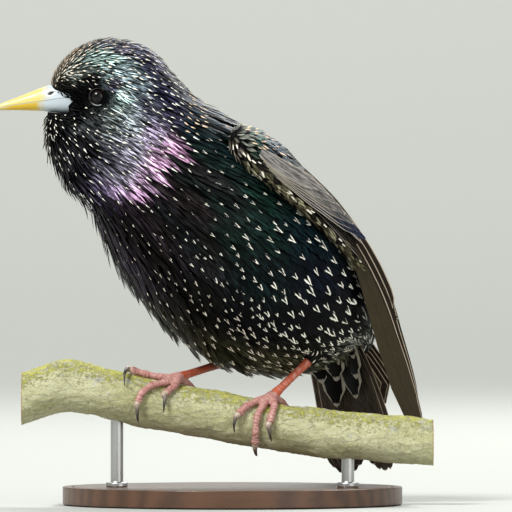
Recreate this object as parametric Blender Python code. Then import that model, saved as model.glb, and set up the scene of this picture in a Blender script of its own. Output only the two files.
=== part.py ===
"""Common starling, adult, as a still life-size museum model gripping a cut length of branch.

Lengths are in millimetres and become metres when a mesh is made. +X is the side of the tail,
-Y is the side of the bird's left flank and +Z is up. The bill points to -X.
"""
import math
import random

import bmesh
import bpy
import numpy as np

# Driving dimensions
MM = 0.001
GAP = 0.3
WELD = 0.001
SEED = 7
EYE_DIAMETER = 6.2
TAIL_LENGTH = 61.0
BRANCH_RADIUS_THICK = 9.4
BRANCH_RADIUS_THIN = 8.3
BASE_RADIUS = 59.0
BASE_HEIGHT = 6.0
BASE_EDGE = 1.6
ROD_RADIUS = 2.2

# Body stations from the forehead to the rump. Each holds the centre, the pitch and the heading
# of the ring's plane in degrees, the reach up and down in that plane, and the half width.
STATIONS = (
    ((-56.2, -22.0, 140.4), 3.0, 2.0, 3.4, 4.2, 3.4),
    ((-55.4, -22.0, 141.4), 12.0, 2.0, 9.2, 8.3, 7.4),
    ((-53.2, -22.0, 142.4), 17.0, 2.0, 13.8, 13.6, 10.2),
    ((-50.5, -22.0, 141.2), 19.6, 2.0, 18.6, 18.2, 12.2),
    ((-46.0, -22.0, 139.3), 21.9, 3.0, 23.2, 22.6, 13.6),
    ((-41.5, -22.0, 136.8), 22.9, 4.0, 25.8, 25.2, 14.6),
    ((-36.9, -22.0, 133.5), 25.2, 6.0, 28.0, 27.4, 15.8),
    ((-33.1, -21.8, 131.0), 27.3, 9.0, 28.2, 27.6, 17.2),
    ((-29.3, -21.4, 127.8), 29.0, 14.0, 27.6, 28.0, 19.2),
    ((-25.6, -20.8, 123.5), 31.0, 21.0, 27.2, 28.4, 22.0),
    ((-21.0, -19.6, 117.6), 35.0, 28.0, 28.2, 29.0, 25.2),
    ((-11.4, -15.0, 107.1), 39.0, 36.0, 33.0, 32.6, 29.4),
    ((-1.0, -7.6, 96.8), 38.0, 40.0, 34.5, 36.0, 31.8),
    ((9.7, 0.6, 87.4), 34.0, 41.0, 34.8, 37.4, 32.4),
    ((19.5, 8.4, 78.6), 30.0, 42.0, 33.0, 35.6, 31.0),
    ((29.5, 16.4, 71.4), 26.0, 43.0, 29.0, 29.0, 27.0),
    ((39.0, 24.2, 66.4), 24.0, 44.0, 23.0, 21.0, 21.4),
    ((45.2, 28.8, 62.4), 34.0, 45.0, 16.4, 14.0, 15.6),
    ((48.0, 30.8, 56.7), 52.0, 46.0, 10.0, 9.0, 11.0),
    ((47.9, 30.8, 50.0), 66.0, 46.0, 4.6, 4.4, 8.0),
)
LAST_STATION = len(STATIONS) - 1.0
NECK_CUT = 10.6
TAIL_CUT = 16.6
HEAD_RINGS = (0.0, 0.5, 1.0, 1.5, 2.0, 2.6, 3.3, 4.1, 5.0, 6.0, 7.0, 8.2, 9.4, NECK_CUT)

# Face: the head narrows to the bill's width where the bill meets it
FACE_BACK = -33.0
FACE_FRONT = -51.0
FACE_HEIGHT = 139.6
FACE_SPREAD = 7.6
FACE_PINCH = 0.66
HEAD_Y = -22.0

# Bill stations from the gape to the tip: x, culmen, cutting edge, lower edge, half width
BILL = (
    (-48.6, 146.0, 140.6, 134.6, 4.4),
    (-52.6, 145.6, 140.3, 135.3, 4.2),
    (-57.4, 144.6, 139.6, 135.9, 3.5),
    (-62.8, 142.5, 138.9, 136.2, 2.7),
    (-68.4, 140.3, 138.1, 136.3, 2.0),
    (-73.1, 138.5, 137.2, 136.3, 1.3),
    (-76.6, 136.9, 136.5, 136.2, 0.5),
)
BILL_SQUARENESS = 0.75
NOSTRIL_PLACE = (-55.4, 3.5, 142.2)
NOSTRIL_RADII = (1.7, 0.9, 0.8)

# Eyes: place along and up, how far their middles lie off the head's, and the lids round them
EYE_PLACE = (-39.1, 140.7)
EYE_OFFSET = 9.3
LID_OFFSET = 11.2
LID_CLEARANCE = 0.25
LID_THICK = 0.6

# The throat and neck are parted from the head by a slanting plane under the eye
THROAT_PLANE_POINT = (-50.0, 134.2)
THROAT_PLANE_SLOPE = 6.0
CORE_INSET = 1.3

# Locks of throat and neck: station of the roots, angle of the first and last, length
HACKLE_ROWS = (
    (1.3, 142.0, 8.0),
    (2.9, 122.0, 11.5),
    (4.7, 110.0, 13.5),
    (6.5, 100.0, 15.0),
    (8.1, 90.0, 16.0),
    (9.4, 78.0, 14.5),
)
HACKLE_SPACING = 8.8
HACKLE_HALF_WIDTH = 2.6
HACKLE_THICK = 0.9
HACKLE_ROOM = 2.4
RUFF_CLEARANCE = 2.0
# Lock shape: share of the length, share of the half width, rise over the surface
HACKLE_SHAPE = ((0.0, 0.6, -2.4), (0.3, 1.0, -0.2), (0.68, 0.8, 0.75), (1.0, 0.12, 1.15))

# Wings: wrist, tip, outward bow, turn of the upper face at wrist and tip in degrees, side
WING_LEFT = dict(wrist=(9.7, -36.5, 119.8), tip=(76.6, 19.0, 26.4), bow=9.5, turn=(36.0, 76.0), side=1.0)
WING_RIGHT = dict(wrist=(-22.0, 11.0, 115.6), tip=(57.5, 54.0, 30.0), bow=6.0, turn=(14.0, 40.0), side=-1.0)
WING_CURL = 1.15
# Wing core stations: length, leading and trailing edge, under and upper side
WING_CORE = (
    (-5.0, 4.0, 9.0, 0.0, 4.0),
    (-2.0, 0.0, 15.0, -3.0, 6.0),
    (6.0, -1.5, 22.0, -5.0, 7.0),
    (18.0, -1.5, 29.0, -5.0, 7.2),
    (32.0, -1.2, 31.0, -3.6, 7.2),
    (46.0, 0.0, 28.0, -1.8, 6.6),
    (60.0, 2.0, 21.0, 0.0, 6.0),
    (70.0, 5.0, 15.0, 2.0, 5.2),
)
VANE_THICK = 0.56
VANE_TIP_START = 0.9
VANE_TIP_THICK = 0.6
# Vane outlines: share of the length, share of the half width
LONG_VANE = ((0.0, 0.45), (0.32, 0.9), (0.72, 1.0), (0.94, 0.62), (1.0, 0.14))
BROAD_VANE = ((0.0, 0.6), (0.55, 1.0), (0.9, 0.72), (1.0, 0.16))

# Primaries, outermost first: tip as a share of the chord, then root, tip and rise
PRIMARY_REACH = (0.992, 1.0, 0.962, 0.915, 0.87, 0.826, 0.788, 0.754, 0.724)
PRIMARY_HALF_WIDTH = 4.0
PRIMARY_STEP = 0.88
PRIMARY_TIP_STEP = 0.72
PRIMARY_ROOT = (24.0, 4.0)
PRIMARY_ROOT_STEP = 0.9
PRIMARY_TIP_ACROSS = 3.6
PRIMARY_TIP_ACROSS_STEP = 0.25
# Other wing tiers: count, then root, tip and rise of the first and last feather, half width
WING_TIERS = (
    (4, ((18.0, 12.0), (21.0, 24.0)), ((89.0, 7.5), (84.0, 12.5)), ((4.4, 6.6), (6.9, 8.5)), 4.8, LONG_VANE),
    (3, ((22.0, 19.0), (22.0, 25.8)), ((86.0, 13.0), (74.0, 19.4)), ((7.2, 8.6), (8.0, 9.2)), 5.0, BROAD_VANE),
    (6, ((30.0, 3.0), (30.0, 26.0)), ((58.5, 3.2), (51.0, 24.2)), ((5.2, 7.9), (5.2, 7.9)), 2.25, BROAD_VANE),
    (5, ((14.0, 3.0), (14.0, 24.0)), ((35.5, 2.6), (32.0, 25.6)), ((4.6, 8.3), (4.6, 8.3)), 2.6, BROAD_VANE),
    (2, ((34.0, 1.2), (34.0, 5.0)), ((61.0, 1.6), (56.2, 5.4)), ((3.2, 4.2), (4.6, 5.6)), 2.1, BROAD_VANE),
    (2, ((8.0, 0.6), (8.0, 2.4)), ((30.0, 0.8), (25.0, 2.4)), ((3.6, 6.4), (3.6, 7.0)), 1.7, BROAD_VANE),
)

# Tail: where its vanes start, the way they hang, and the heading of its width
TAIL_ROOT = (41.0, 28.0, 62.0)
TAIL_WAY = (0.25, 0.13, -0.96)
TAIL_HEADING = 47.0
TAIL_ARCH = 0.010
TAIL_BOW = 1.6
# Tail core stations: length, half width, upper and under side
TAIL_CORE = (
    (-6.0, 10.0, -6.0, 6.0),
    (0.0, 11.5, -4.6, 5.4),
    (6.0, 11.5, -3.4, 4.8),
    (12.0, 10.0, -2.0, 3.8),
    (17.0, 7.0, -0.8, 2.6),
)
# Rectrices: tips from the middle pair out, spread at root and tip, rise steps, half width
TAIL_TIPS = (49.6, 51.6, 53.4, 54.2, 53.6, 51.6)
RECTRIX_ROOT_STEP = 1.7
RECTRIX_TIP_STEP = 2.6
RECTRIX_ROOT_RISE = 0.36
RECTRIX_TIP_RISE = 0.52
RECTRIX_SIDE_RISE = 0.3
RECTRIX_HALF_WIDTH = 4.5
# Coverts under and over the tail's root, as the wing's tiers
TAIL_TIERS = (
    (2, ((-1.0, -2.6), (-1.0, 2.6)), ((29.0, -3.2), (28.0, 3.2)), ((2.3, 3.9), (2.3, 3.9)), 4.0, BROAD_VANE),
    (3, ((-1.0, -7.0), (-1.0, 7.0)), ((20.5, -9.0), (20.5, 9.0)), ((3.0, 4.6), (3.0, 4.6)), 4.2, BROAD_VANE),
    (4, ((-1.0, -9.0), (-1.0, 9.0)), ((12.5, -11.0), (12.5, 11.0)), ((3.6, 5.2), (3.6, 5.2)), 3.5, BROAD_VANE),
    (3, ((-1.0, -6.0), (-1.0, 6.0)), ((24.0, -7.5), (24.0, 7.5)), ((-1.0, -1.5), (-1.0, -1.5)), 3.6, BROAD_VANE),
)

# Branch centre line
BRANCH_LINE = (
    (-66.0, -8.4, 36.4),
    (-53.4, -8.0, 40.8),
    (-43.0, -7.6, 40.2),
    (-33.8, -7.8, 37.6),
    (-16.9, -8.0, 34.2),
    (5.9, -8.0, 29.9),
    (22.1, -8.2, 26.9),
    (37.6, -8.4, 24.7),
    (59.0, -8.2, 22.9),
    (76.6, -8.0, 21.5),
)
BRANCH_SWELL = 0.018

# Feet: where each palm lies along the branch and round it, the top of each tarsus, and the way
# its feathered shin goes on into the belly
FEET = {
    "left": dict(palm=(20.9, 6.0), tarsus_top=(33.8, -3.4, 50.0), shin=(-0.35, 0.55, 0.76)),
    "right": dict(palm=(-11.6, 4.0), tarsus_top=(3.8, 12.8, 48.8), shin=(0.1, -0.25, 0.96)),
}
PALM_RISE = 1.9
# Shin stations: length from the tarsus and radius; tarsus stations: share of length and radius
SHIN = ((GAP, 2.2), (1.6, 3.4), (6.0, 4.8), (11.0, 4.4), (14.0, 2.4))
TARSUS = ((0.0, 1.75), (0.12, 1.55), (0.4, 1.4), (0.78, 1.45), (0.94, 1.85), (1.04, 1.4))
# Toes: places along the branch and round it in degrees, ending where the claw starts, then the
# claw's own places with its height over the bark
TOES = {
    "left": {
        "inner": (((15.4, 33.0), (11.4, 56.0), (8.7, 78.0)),
                  ((7.7, 88.0, 2.0), (7.3, 101.0, 2.3), (7.5, 116.0, 1.4))),
        "middle": (((17.7, 40.0), (15.2, 76.0), (14.7, 108.0), (14.5, 132.0)),
                   ((14.4, 142.0, 2.4), (14.8, 156.0, 3.0), (15.3, 172.0, 2.4))),
        "outer": (((21.4, 42.0), (20.6, 66.0), (19.6, 84.0)),
                  ((19.5, 94.0, 2.0), (20.0, 108.0, 2.2), (20.6, 121.0, 1.4))),
        "hind": (((24.2, -24.0), (26.4, -48.0), (27.6, -66.0)),
                 ((28.2, -76.0, 2.1), (28.8, -92.0, 2.4), (29.2, -106.0, 1.4))),
    },
    "right": {
        "inner": (((-17.4, 12.0), (-22.8, 11.0), (-27.2, 16.0)),
                  ((-28.8, 27.0, 2.0), (-29.6, 46.0, 2.5), (-29.5, 66.0, 1.5))),
        "middle": (((-15.6, 30.0), (-20.0, 48.0), (-23.4, 72.0), (-24.7, 92.0)),
                   ((-25.0, 103.0, 2.3), (-24.9, 120.0, 2.8), (-24.5, 136.0, 1.6))),
        "outer": (((-12.4, 34.0), (-14.2, 50.0), (-15.9, 63.0)),
                  ((-16.2, 74.0, 2.0), (-16.5, 88.0, 2.4), (-16.7, 102.0, 1.5))),
        "hind": (((-8.2, -24.0), (-6.0, -46.0), (-4.8, -64.0)),
                 ((-4.2, -74.0, 2.1), (-3.8, -90.0, 2.4), (-3.6, -104.0, 1.4))),
    },
}
TOE_RADIUS = 1.12
TOE_PAD = 0.09
TOE_STEPS = 3
TOE_STUB = 3
CLAW_START = 0.8
CLAW_RADII = (0.86, 0.9, 0.82, 0.68, 0.48, 0.3, 0.12)

# Stand
ROD_PLACES = (-33.0, 47.0)
BASE_CENTRE_X = 7.0

# Sides of round sections, and the direction that starts a tube's first section
TUBE_UP = (0.3, 0.9, 0.1)
HEAD_SIDES = 22
NECK_SIDES = 22
TRUNK_SIDES = 30
CORE_SIDES = 10
TARSUS_SIDES = 8
TOE_SIDES = 6
SHIN_SIDES = 12
ROD_SIDES = 16
BASE_SIDES = 44


def clear_scene():
    """Remove every object that the scene starts with."""
    for obj in list(bpy.data.objects):
        bpy.data.objects.remove(obj, do_unlink=True)


def unit(vector):
    """Return the vector at length one."""
    vector = np.asarray(vector, float)
    return vector / np.linalg.norm(vector)


def mix(first, last, share):
    """Blend two lists of numbers."""
    return np.asarray(first, float) * (1.0 - share) + np.asarray(last, float) * share


def spline(values, at):
    """Catmull-Rom value at a fractional place in a list of equally counted values."""
    values = np.asarray(values, float)
    last = len(values) - 1
    at = min(max(at, 0.0), float(last))
    low = min(int(at), last - 1)
    t = at - low
    p1, p2 = values[low], values[low + 1]
    p0 = values[low - 1] if low > 0 else 2.0 * p1 - p2
    p3 = values[low + 2] if low + 2 <= last else 2.0 * p2 - p1
    return 0.5 * (2.0 * p1 + (p2 - p0) * t + (2.0 * p0 - 5.0 * p1 + 4.0 * p2 - p3) * t * t
                  + (3.0 * p1 - p0 - 3.0 * p2 + p3) * t ** 3)


def smooth(value):
    """Ease from nought to one."""
    value = min(max(value, 0.0), 1.0)
    return value * value * (3.0 - 2.0 * value)


def turns(count):
    """Angles in radians that part a full turn evenly."""
    return [2.0 * math.pi * k / count for k in range(count)]


def face_pinch(point):
    """Share of the head's width that is left near the bill and the eye."""
    along = smooth((FACE_BACK - point[0]) / (FACE_BACK - FACE_FRONT))
    level = math.exp(-(((point[2] - FACE_HEIGHT) / FACE_SPREAD) ** 2))
    return 1.0 - FACE_PINCH * along * level


class Body:
    """The smooth outer form of head, neck and trunk, read at a station and an angle."""

    table = [[*c, pitch, heading, up, down, width] for c, pitch, heading, up, down, width in STATIONS]

    @classmethod
    def frame(cls, station):
        """Centre, forward, left and dorsal directions, and the three reaches."""
        x, y, z, pitch, heading, up, down, width = spline(cls.table, station)
        pitch, heading = math.radians(pitch), math.radians(heading)
        ahead = np.array((-math.cos(heading), -math.sin(heading), 0.0))
        left = np.array((math.sin(heading), -math.cos(heading), 0.0))
        forward = ahead * math.cos(pitch) + np.array((0.0, 0.0, math.sin(pitch)))
        dorsal = -ahead * math.sin(pitch) + np.array((0.0, 0.0, math.cos(pitch)))
        return np.array((x, y, z)), forward, left, dorsal, up, down, width

    @classmethod
    def point(cls, station, angle, grow=0.0):
        """Surface point at an angle from the back (0) over the left side (90) to the belly (180)."""
        centre, _, left, dorsal, up, down, width = cls.frame(station)
        c, s = math.cos(math.radians(angle)), math.sin(math.radians(angle))
        reach = up if c > 0 else down
        axis_point = centre + dorsal * c * (reach + grow)
        return axis_point + left * s * (width * face_pinch(axis_point) + grow)

    @classmethod
    def normal(cls, station, angle):
        """Outward direction of the surface."""
        along = cls.point(station + 0.05, angle) - cls.point(station - 0.05, angle)
        round_it = cls.point(station, angle + 2.0) - cls.point(station, angle - 2.0)
        return unit(np.cross(round_it, along))


class Mesh:
    """Vertices and triangles of one closed piece, in millimetres."""

    def __init__(self):
        self.points = []
        self.faces = []

    def add(self, point):
        """Add a vertex and return its number."""
        self.points.append(tuple(float(v) for v in point))
        return len(self.points) - 1

    def quad(self, a, b, c, d):
        """Add a quad as two triangles."""
        self.faces += [(a, b, c), (a, c, d)]

    def ring_strip(self, low, high):
        """Join two rings of equal count."""
        count = len(low)
        for i in range(count):
            j = (i + 1) % count
            self.quad(low[i], low[j], high[j], high[i])

    def cap(self, ring, flip):
        """Close a ring with a fan round its middle."""
        middle = self.add(np.mean([self.points[i] for i in ring], axis=0))
        for i, a in enumerate(ring):
            b = ring[(i + 1) % len(ring)]
            self.faces.append((middle, b, a) if flip else (middle, a, b))


def loft(rings):
    """Closed mesh through a list of rings of points."""
    mesh = Mesh()
    numbers = [[mesh.add(p) for p in ring] for ring in rings]
    for low, high in zip(numbers, numbers[1:]):
        mesh.ring_strip(low, high)
    mesh.cap(numbers[0], True)
    mesh.cap(numbers[-1], False)
    return mesh


def tube(path, radii, sides):
    """Closed round tube along a path, its sections square to it and carried on without a twist."""
    path = [np.asarray(p, float) for p in path]
    rings = []
    last = len(path) - 1
    side = np.cross(path[1] - path[0], TUBE_UP)
    for i, point in enumerate(path):
        ahead = unit(path[min(i + 1, last)] - path[max(i - 1, 0)])
        side = unit(side - ahead * float(side @ ahead))
        top = np.cross(side, ahead)
        rings.append([point + radii[i] * (side * math.cos(t) + top * math.sin(t)) for t in turns(sides)])
    return loft(rings)


def blade(path, sides, normals, half_widths, thickness):
    """Closed flat vane or lock: a strip of the given half widths, split alike on both faces."""
    mesh = Mesh()
    rows = []
    for point, side, normal, width, thick in zip(path, sides, normals, half_widths, thickness):
        edge, half = side * width, normal * thick / 2.0
        rows.append([mesh.add(p) for p in (point - edge + half, point + edge + half,
                                           point + edge - half, point - edge - half)])
    for low, high in zip(rows, rows[1:]):
        mesh.quad(low[0], low[1], high[1], high[0])
        mesh.faces += [(low[2], low[3], high[2]), (high[2], low[3], high[3])]
        mesh.quad(low[1], low[2], high[2], high[1])
        mesh.quad(low[3], low[0], high[0], high[3])
    mesh.quad(*reversed(rows[0]))
    mesh.quad(*rows[-1])
    return mesh


class Workshop:
    """Makes, joins and cuts the named objects of the model."""

    def __init__(self, name):
        self.parts = bpy.data.collections.new(name)
        bpy.context.scene.collection.children.link(self.parts)
        self.random = random.Random(SEED)
        self.materials = {}

    def material(self, name, colour, roughness, metallic=0.0):
        """A plain Principled material for one kind of surface."""
        if name not in self.materials:
            made = bpy.data.materials.new(name)
            made.use_nodes = True
            shader = made.node_tree.nodes["Principled BSDF"]
            shader.inputs["Base Color"].default_value = (*colour, 1.0)
            shader.inputs["Roughness"].default_value = roughness
            shader.inputs["Metallic"].default_value = metallic
            self.materials[name] = made
        return self.materials[name]

    def build(self, name, mesh, material=None):
        """Turn a mesh in millimetres into an object in metres with outward faces."""
        data = bpy.data.meshes.new(name)
        data.from_pydata([tuple(v * MM for v in p) for p in mesh.points], [], mesh.faces)
        made = bmesh.new()
        made.from_mesh(data)
        bmesh.ops.recalc_face_normals(made, faces=made.faces)
        made.to_mesh(data)
        made.free()
        if material:
            data.materials.append(material)
        obj = bpy.data.objects.new(name, data)
        self.parts.objects.link(obj)
        return obj

    def apply(self, obj):
        """Replace an object's mesh with what its modifiers make of it."""
        graph = bpy.context.evaluated_depsgraph_get()
        data = bpy.data.meshes.new_from_object(obj.evaluated_get(graph))
        data.name = obj.name
        old = obj.data
        obj.modifiers.clear()
        obj.data = data
        bpy.data.meshes.remove(old)

    def cut(self, obj, cutters, solver="EXACT"):
        """Take closed meshes away from an object."""
        for mesh in cutters:
            cutter = self.build("cutter", mesh)
            step = obj.modifiers.new("cut", "BOOLEAN")
            step.operation = "DIFFERENCE"
            step.object = cutter
            step.solver = solver
            self.apply(obj)
            bpy.data.objects.remove(cutter, do_unlink=True)
        self.keep_largest(obj)

    def fuse(self, obj, meshes):
        """Join closed meshes to an object and keep its largest closed surface."""
        group = bpy.data.collections.new("pieces")
        bpy.context.scene.collection.children.link(group)
        made = []
        for mesh in meshes:
            piece = self.build("piece", mesh)
            self.parts.objects.unlink(piece)
            group.objects.link(piece)
            made.append(piece)
        step = obj.modifiers.new("fuse", "BOOLEAN")
        step.operation = "UNION"
        step.operand_type = "COLLECTION"
        step.collection = group
        step.solver = "MANIFOLD"
        self.apply(obj)
        for piece in made:
            bpy.data.objects.remove(piece, do_unlink=True)
        bpy.data.collections.remove(group)
        self.keep_largest(obj)

    def slice(self, obj, point, away):
        """Cut an object half a gap from a plane, drop what lies against the direction, and close it."""
        work = bmesh.new()
        work.from_mesh(obj.data)
        place = tuple((p + a * GAP / 2.0) * MM for p, a in zip(point, away))
        geometry = work.verts[:] + work.edges[:] + work.faces[:]
        cut = bmesh.ops.bisect_plane(work, geom=geometry, plane_co=place, plane_no=away, clear_inner=True)
        edges = [item for item in cut["geom_cut"] if isinstance(item, bmesh.types.BMEdge)]
        bmesh.ops.contextual_create(work, geom=edges)
        bmesh.ops.triangulate(work, faces=work.faces)
        bmesh.ops.recalc_face_normals(work, faces=work.faces)
        work.to_mesh(obj.data)
        work.free()

    def welded(self, obj, distance):
        """The object's mesh with hair-thin edges welded, and whether every edge still has two faces."""
        work = bmesh.new()
        work.from_mesh(obj.data)
        bmesh.ops.remove_doubles(work, verts=work.verts, dist=distance * MM)
        bmesh.ops.dissolve_degenerate(work, edges=work.edges, dist=distance * MM)
        bmesh.ops.triangulate(work, faces=work.faces)
        return work, all(len(edge.link_faces) == 2 for edge in work.edges)

    def keep_largest(self, obj):
        """Weld hair-thin edges and drop every closed surface of a mesh but its largest."""
        for share in (1.0, 0.5, 0.2, 0.05):
            work, sound = self.welded(obj, WELD * share)
            if sound:
                break
            work.free()
        else:
            work, _ = self.welded(obj, 0.0)
        work.verts.ensure_lookup_table()
        seen = set()
        groups = []
        for start in work.verts:
            if start.index in seen:
                continue
            seen.add(start.index)
            stack = [start]
            group = []
            while stack:
                vert = stack.pop()
                group.append(vert)
                for edge in vert.link_edges:
                    other = edge.other_vert(vert)
                    if other.index not in seen:
                        seen.add(other.index)
                        stack.append(other)
            groups.append(group)
        groups.sort(key=len, reverse=True)
        for group in groups[1:]:
            bmesh.ops.delete(work, geom=group, context="VERTS")
        work.to_mesh(obj.data)
        work.free()


def body_rings(stations, sides, grow=0.0, slide=0.0):
    """Rings of the body's surface, the first and last slid along the body by a hair."""
    rings = []
    last = len(stations) - 1
    for i, station in enumerate(stations):
        shift = Body.frame(station)[1] * (slide if i == 0 else -slide if i == last else 0.0)
        rings.append([Body.point(station, 360.0 * k / sides, grow) - shift for k in range(sides)])
    return rings


def stations_between(low, high, count):
    """Evenly spread stations."""
    return [low + (high - low) * i / (count - 1) for i in range(count)]


def trunk_mesh(grow=0.0):
    """The trunk from the neck's cut to the tail's cut."""
    return loft(body_rings(stations_between(NECK_CUT, TAIL_CUT, 13), TRUNK_SIDES, grow, GAP / 2.0 - grow))


def body_clearance():
    """What the wings keep clear of: the trunk by a hair and the ruff by its locks' height."""
    trunk = loft(body_rings(stations_between(9.0, LAST_STATION, 20), TRUNK_SIDES, GAP))
    ruff = loft(body_rings(stations_between(6.0, NECK_CUT + 0.7, 10), TRUNK_SIDES, RUFF_CLEARANCE))
    return [trunk, ruff]


def neck_core():
    """Throat and neck under their locks, out to the full form where they meet the trunk."""
    rings = []
    stations = HEAD_RINGS[1:]
    for station in stations:
        inset = CORE_INSET * (1.0 - smooth((station - 7.0) / (NECK_CUT - 7.0)))
        shift = Body.frame(station)[1] * (GAP / 2.0 if station == stations[0] else 0.0)
        shift = -shift if station != stations[-1] else -Body.frame(station)[1] * GAP / 2.0
        rings.append([Body.point(station, 360.0 * k / NECK_SIDES, -inset) - shift for k in range(NECK_SIDES)])
    return loft(rings)


def bill_rings(low, high):
    """Rings along the bill between two of its edges: 1 culmen, 2 cutting edge, 3 lower edge."""
    rings = []
    for station in BILL:
        x, width = station[0], station[4]
        top = station[low] - (GAP / 2.0 if low == 2 else 0.0)
        bottom = station[high] + (GAP / 2.0 if high == 2 else 0.0)
        flat, far = (bottom, top) if high == 2 else (top, bottom)
        ring = []
        for k in range(7):
            turn = math.pi * k / 6.0
            across = math.copysign(abs(math.cos(turn)) ** BILL_SQUARENESS, math.cos(turn))
            ring.append((x, HEAD_Y + width * across, flat + (far - flat) * math.sin(turn)))
        rings.append(ring)
    return rings


def bill_cutter():
    """The whole bill, a hair larger, which clears its place in head and throat."""
    rings = []
    for i, (x, top, cutting, bottom, width) in enumerate(BILL):
        x += GAP if i == 0 else 0.0
        ring = []
        for turn in turns(16):
            rise = math.sin(turn)
            across = math.copysign(abs(math.cos(turn)) ** BILL_SQUARENESS, math.cos(turn))
            reach = top + GAP - cutting if rise > 0 else cutting - bottom + GAP
            ring.append((x, HEAD_Y + (width + GAP) * across, cutting + reach * rise))
        rings.append(ring)
    return loft(rings)


def ball(centre, radii, across, high):
    """Closed ball of rings with its poles along Y."""
    centre = np.asarray(centre, float)
    rings = []
    for i in range(1, high):
        turn = math.pi * i / high
        ring = []
        for spin in turns(across):
            ring.append(centre + np.array((radii[0] * math.sin(turn) * math.cos(spin),
                                           -radii[1] * math.cos(turn),
                                           radii[2] * math.sin(turn) * math.sin(spin))))
        rings.append(ring)
    return loft(rings)


def lid_ring(side):
    """Raised rim of skin round an eye, as a closed ring."""
    mesh = Mesh()
    centre = np.array((EYE_PLACE[0], HEAD_Y - side * LID_OFFSET, EYE_PLACE[1]))
    radius = EYE_DIAMETER / 2.0 + LID_CLEARANCE
    numbers = []
    for spin in turns(12):
        out = np.array((math.cos(spin), 0.0, math.sin(spin)))
        row = []
        for turn in turns(4):
            point = centre + out * (radius + LID_THICK * math.cos(turn))
            row.append(mesh.add(point + np.array((0.0, -side * LID_THICK * 1.5 * math.sin(turn), 0.0))))
        numbers.append(row)
    for low, high in zip(numbers, numbers[1:] + numbers[:1]):
        mesh.ring_strip(low, high)
    return mesh


class Branch:
    """The cut length of branch: its centre line, thickness and bark places."""

    steps = 19
    sides = 16

    @classmethod
    def centre(cls, x):
        """Centre of the branch at a place along X."""
        table = np.asarray(BRANCH_LINE)
        at = float(np.interp(x, table[:, 0], range(len(table))))
        return spline(BRANCH_LINE, at)

    @classmethod
    def radius(cls, x, turn=0.0):
        """Radius at a place, with the slow swellings of old bark."""
        share = (x - BRANCH_LINE[0][0]) / (BRANCH_LINE[-1][0] - BRANCH_LINE[0][0])
        plain = BRANCH_RADIUS_THICK + (BRANCH_RADIUS_THIN - BRANCH_RADIUS_THICK) * share
        wave = math.sin(x * 0.21 + 2.0 * turn) + 0.7 * math.sin(x * 0.37 - 3.0 * turn + 1.3)
        return plain * (1.0 + BRANCH_SWELL * wave)

    @classmethod
    def place(cls, x, degrees, rise):
        """Point over the bark; nought degrees is the crest and ninety the near side."""
        turn = math.radians(degrees)
        reach = cls.radius(x, turn) + rise
        return cls.centre(x) + np.array((0.0, -math.sin(turn), math.cos(turn))) * reach

    @classmethod
    def mesh(cls, grow=0.0):
        """The branch as a closed mesh with sawn ends."""
        rings = []
        low, high = BRANCH_LINE[0][0] - grow, BRANCH_LINE[-1][0] + grow
        for i in range(cls.steps):
            x = low + (high - low) * i / (cls.steps - 1)
            rings.append([cls.place(x, -360.0 * k / cls.sides, grow) for k in range(cls.sides)])
        return loft(rings)


class Fan:
    """A curved sheet that vanes lie on, read at lengths along it, across it and up from it."""

    def place(self, along, across, rise):
        """Point and upper direction."""
        raise NotImplementedError

    def vane(self, start, end, rise, half_width, shape):
        """One feather from its root's place to its tip's."""
        path, sides, normals, widths, thicks = [], [], [], [], []
        slant = (end[1] - start[1]) / (end[0] - start[0])
        for share, part in shape:
            along, across = mix(start, end, share)
            height = rise[0] + (rise[1] - rise[0]) * share
            point, upper = self.place(along, across, height)
            ahead, _ = self.place(along + 0.5, across + 0.5 * slant, height)
            path.append(point)
            normals.append(upper)
            sides.append(unit(np.cross(upper, ahead - point)))
            widths.append(half_width * part)
            thicks.append(VANE_THICK if share < VANE_TIP_START else VANE_THICK * VANE_TIP_THICK)
        return blade(path, sides, normals, widths, thicks)

    def tier(self, count, roots, tips, rises, half_width, shape):
        """A row of vanes spread evenly between its first and its last."""
        made = []
        for i in range(count):
            share = i / (count - 1)
            made.append(self.vane(mix(*roots, share), mix(*tips, share), mix(*rises, share), half_width, shape))
        return made

    def core(self, stations):
        """Flesh that the vanes grow from: length, two edges, under and over side at each station."""
        rings = []
        for along, low, high, under, over in stations:
            ring = []
            for turn in turns(CORE_SIDES):
                across = (low + high) / 2.0 + (high - low) / 2.0 * math.cos(turn)
                rise = (under + over) / 2.0 + (over - under) / 2.0 * math.sin(turn)
                ring.append(self.place(along, across, rise)[0])
            rings.append(ring)
        return loft(rings)


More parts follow.
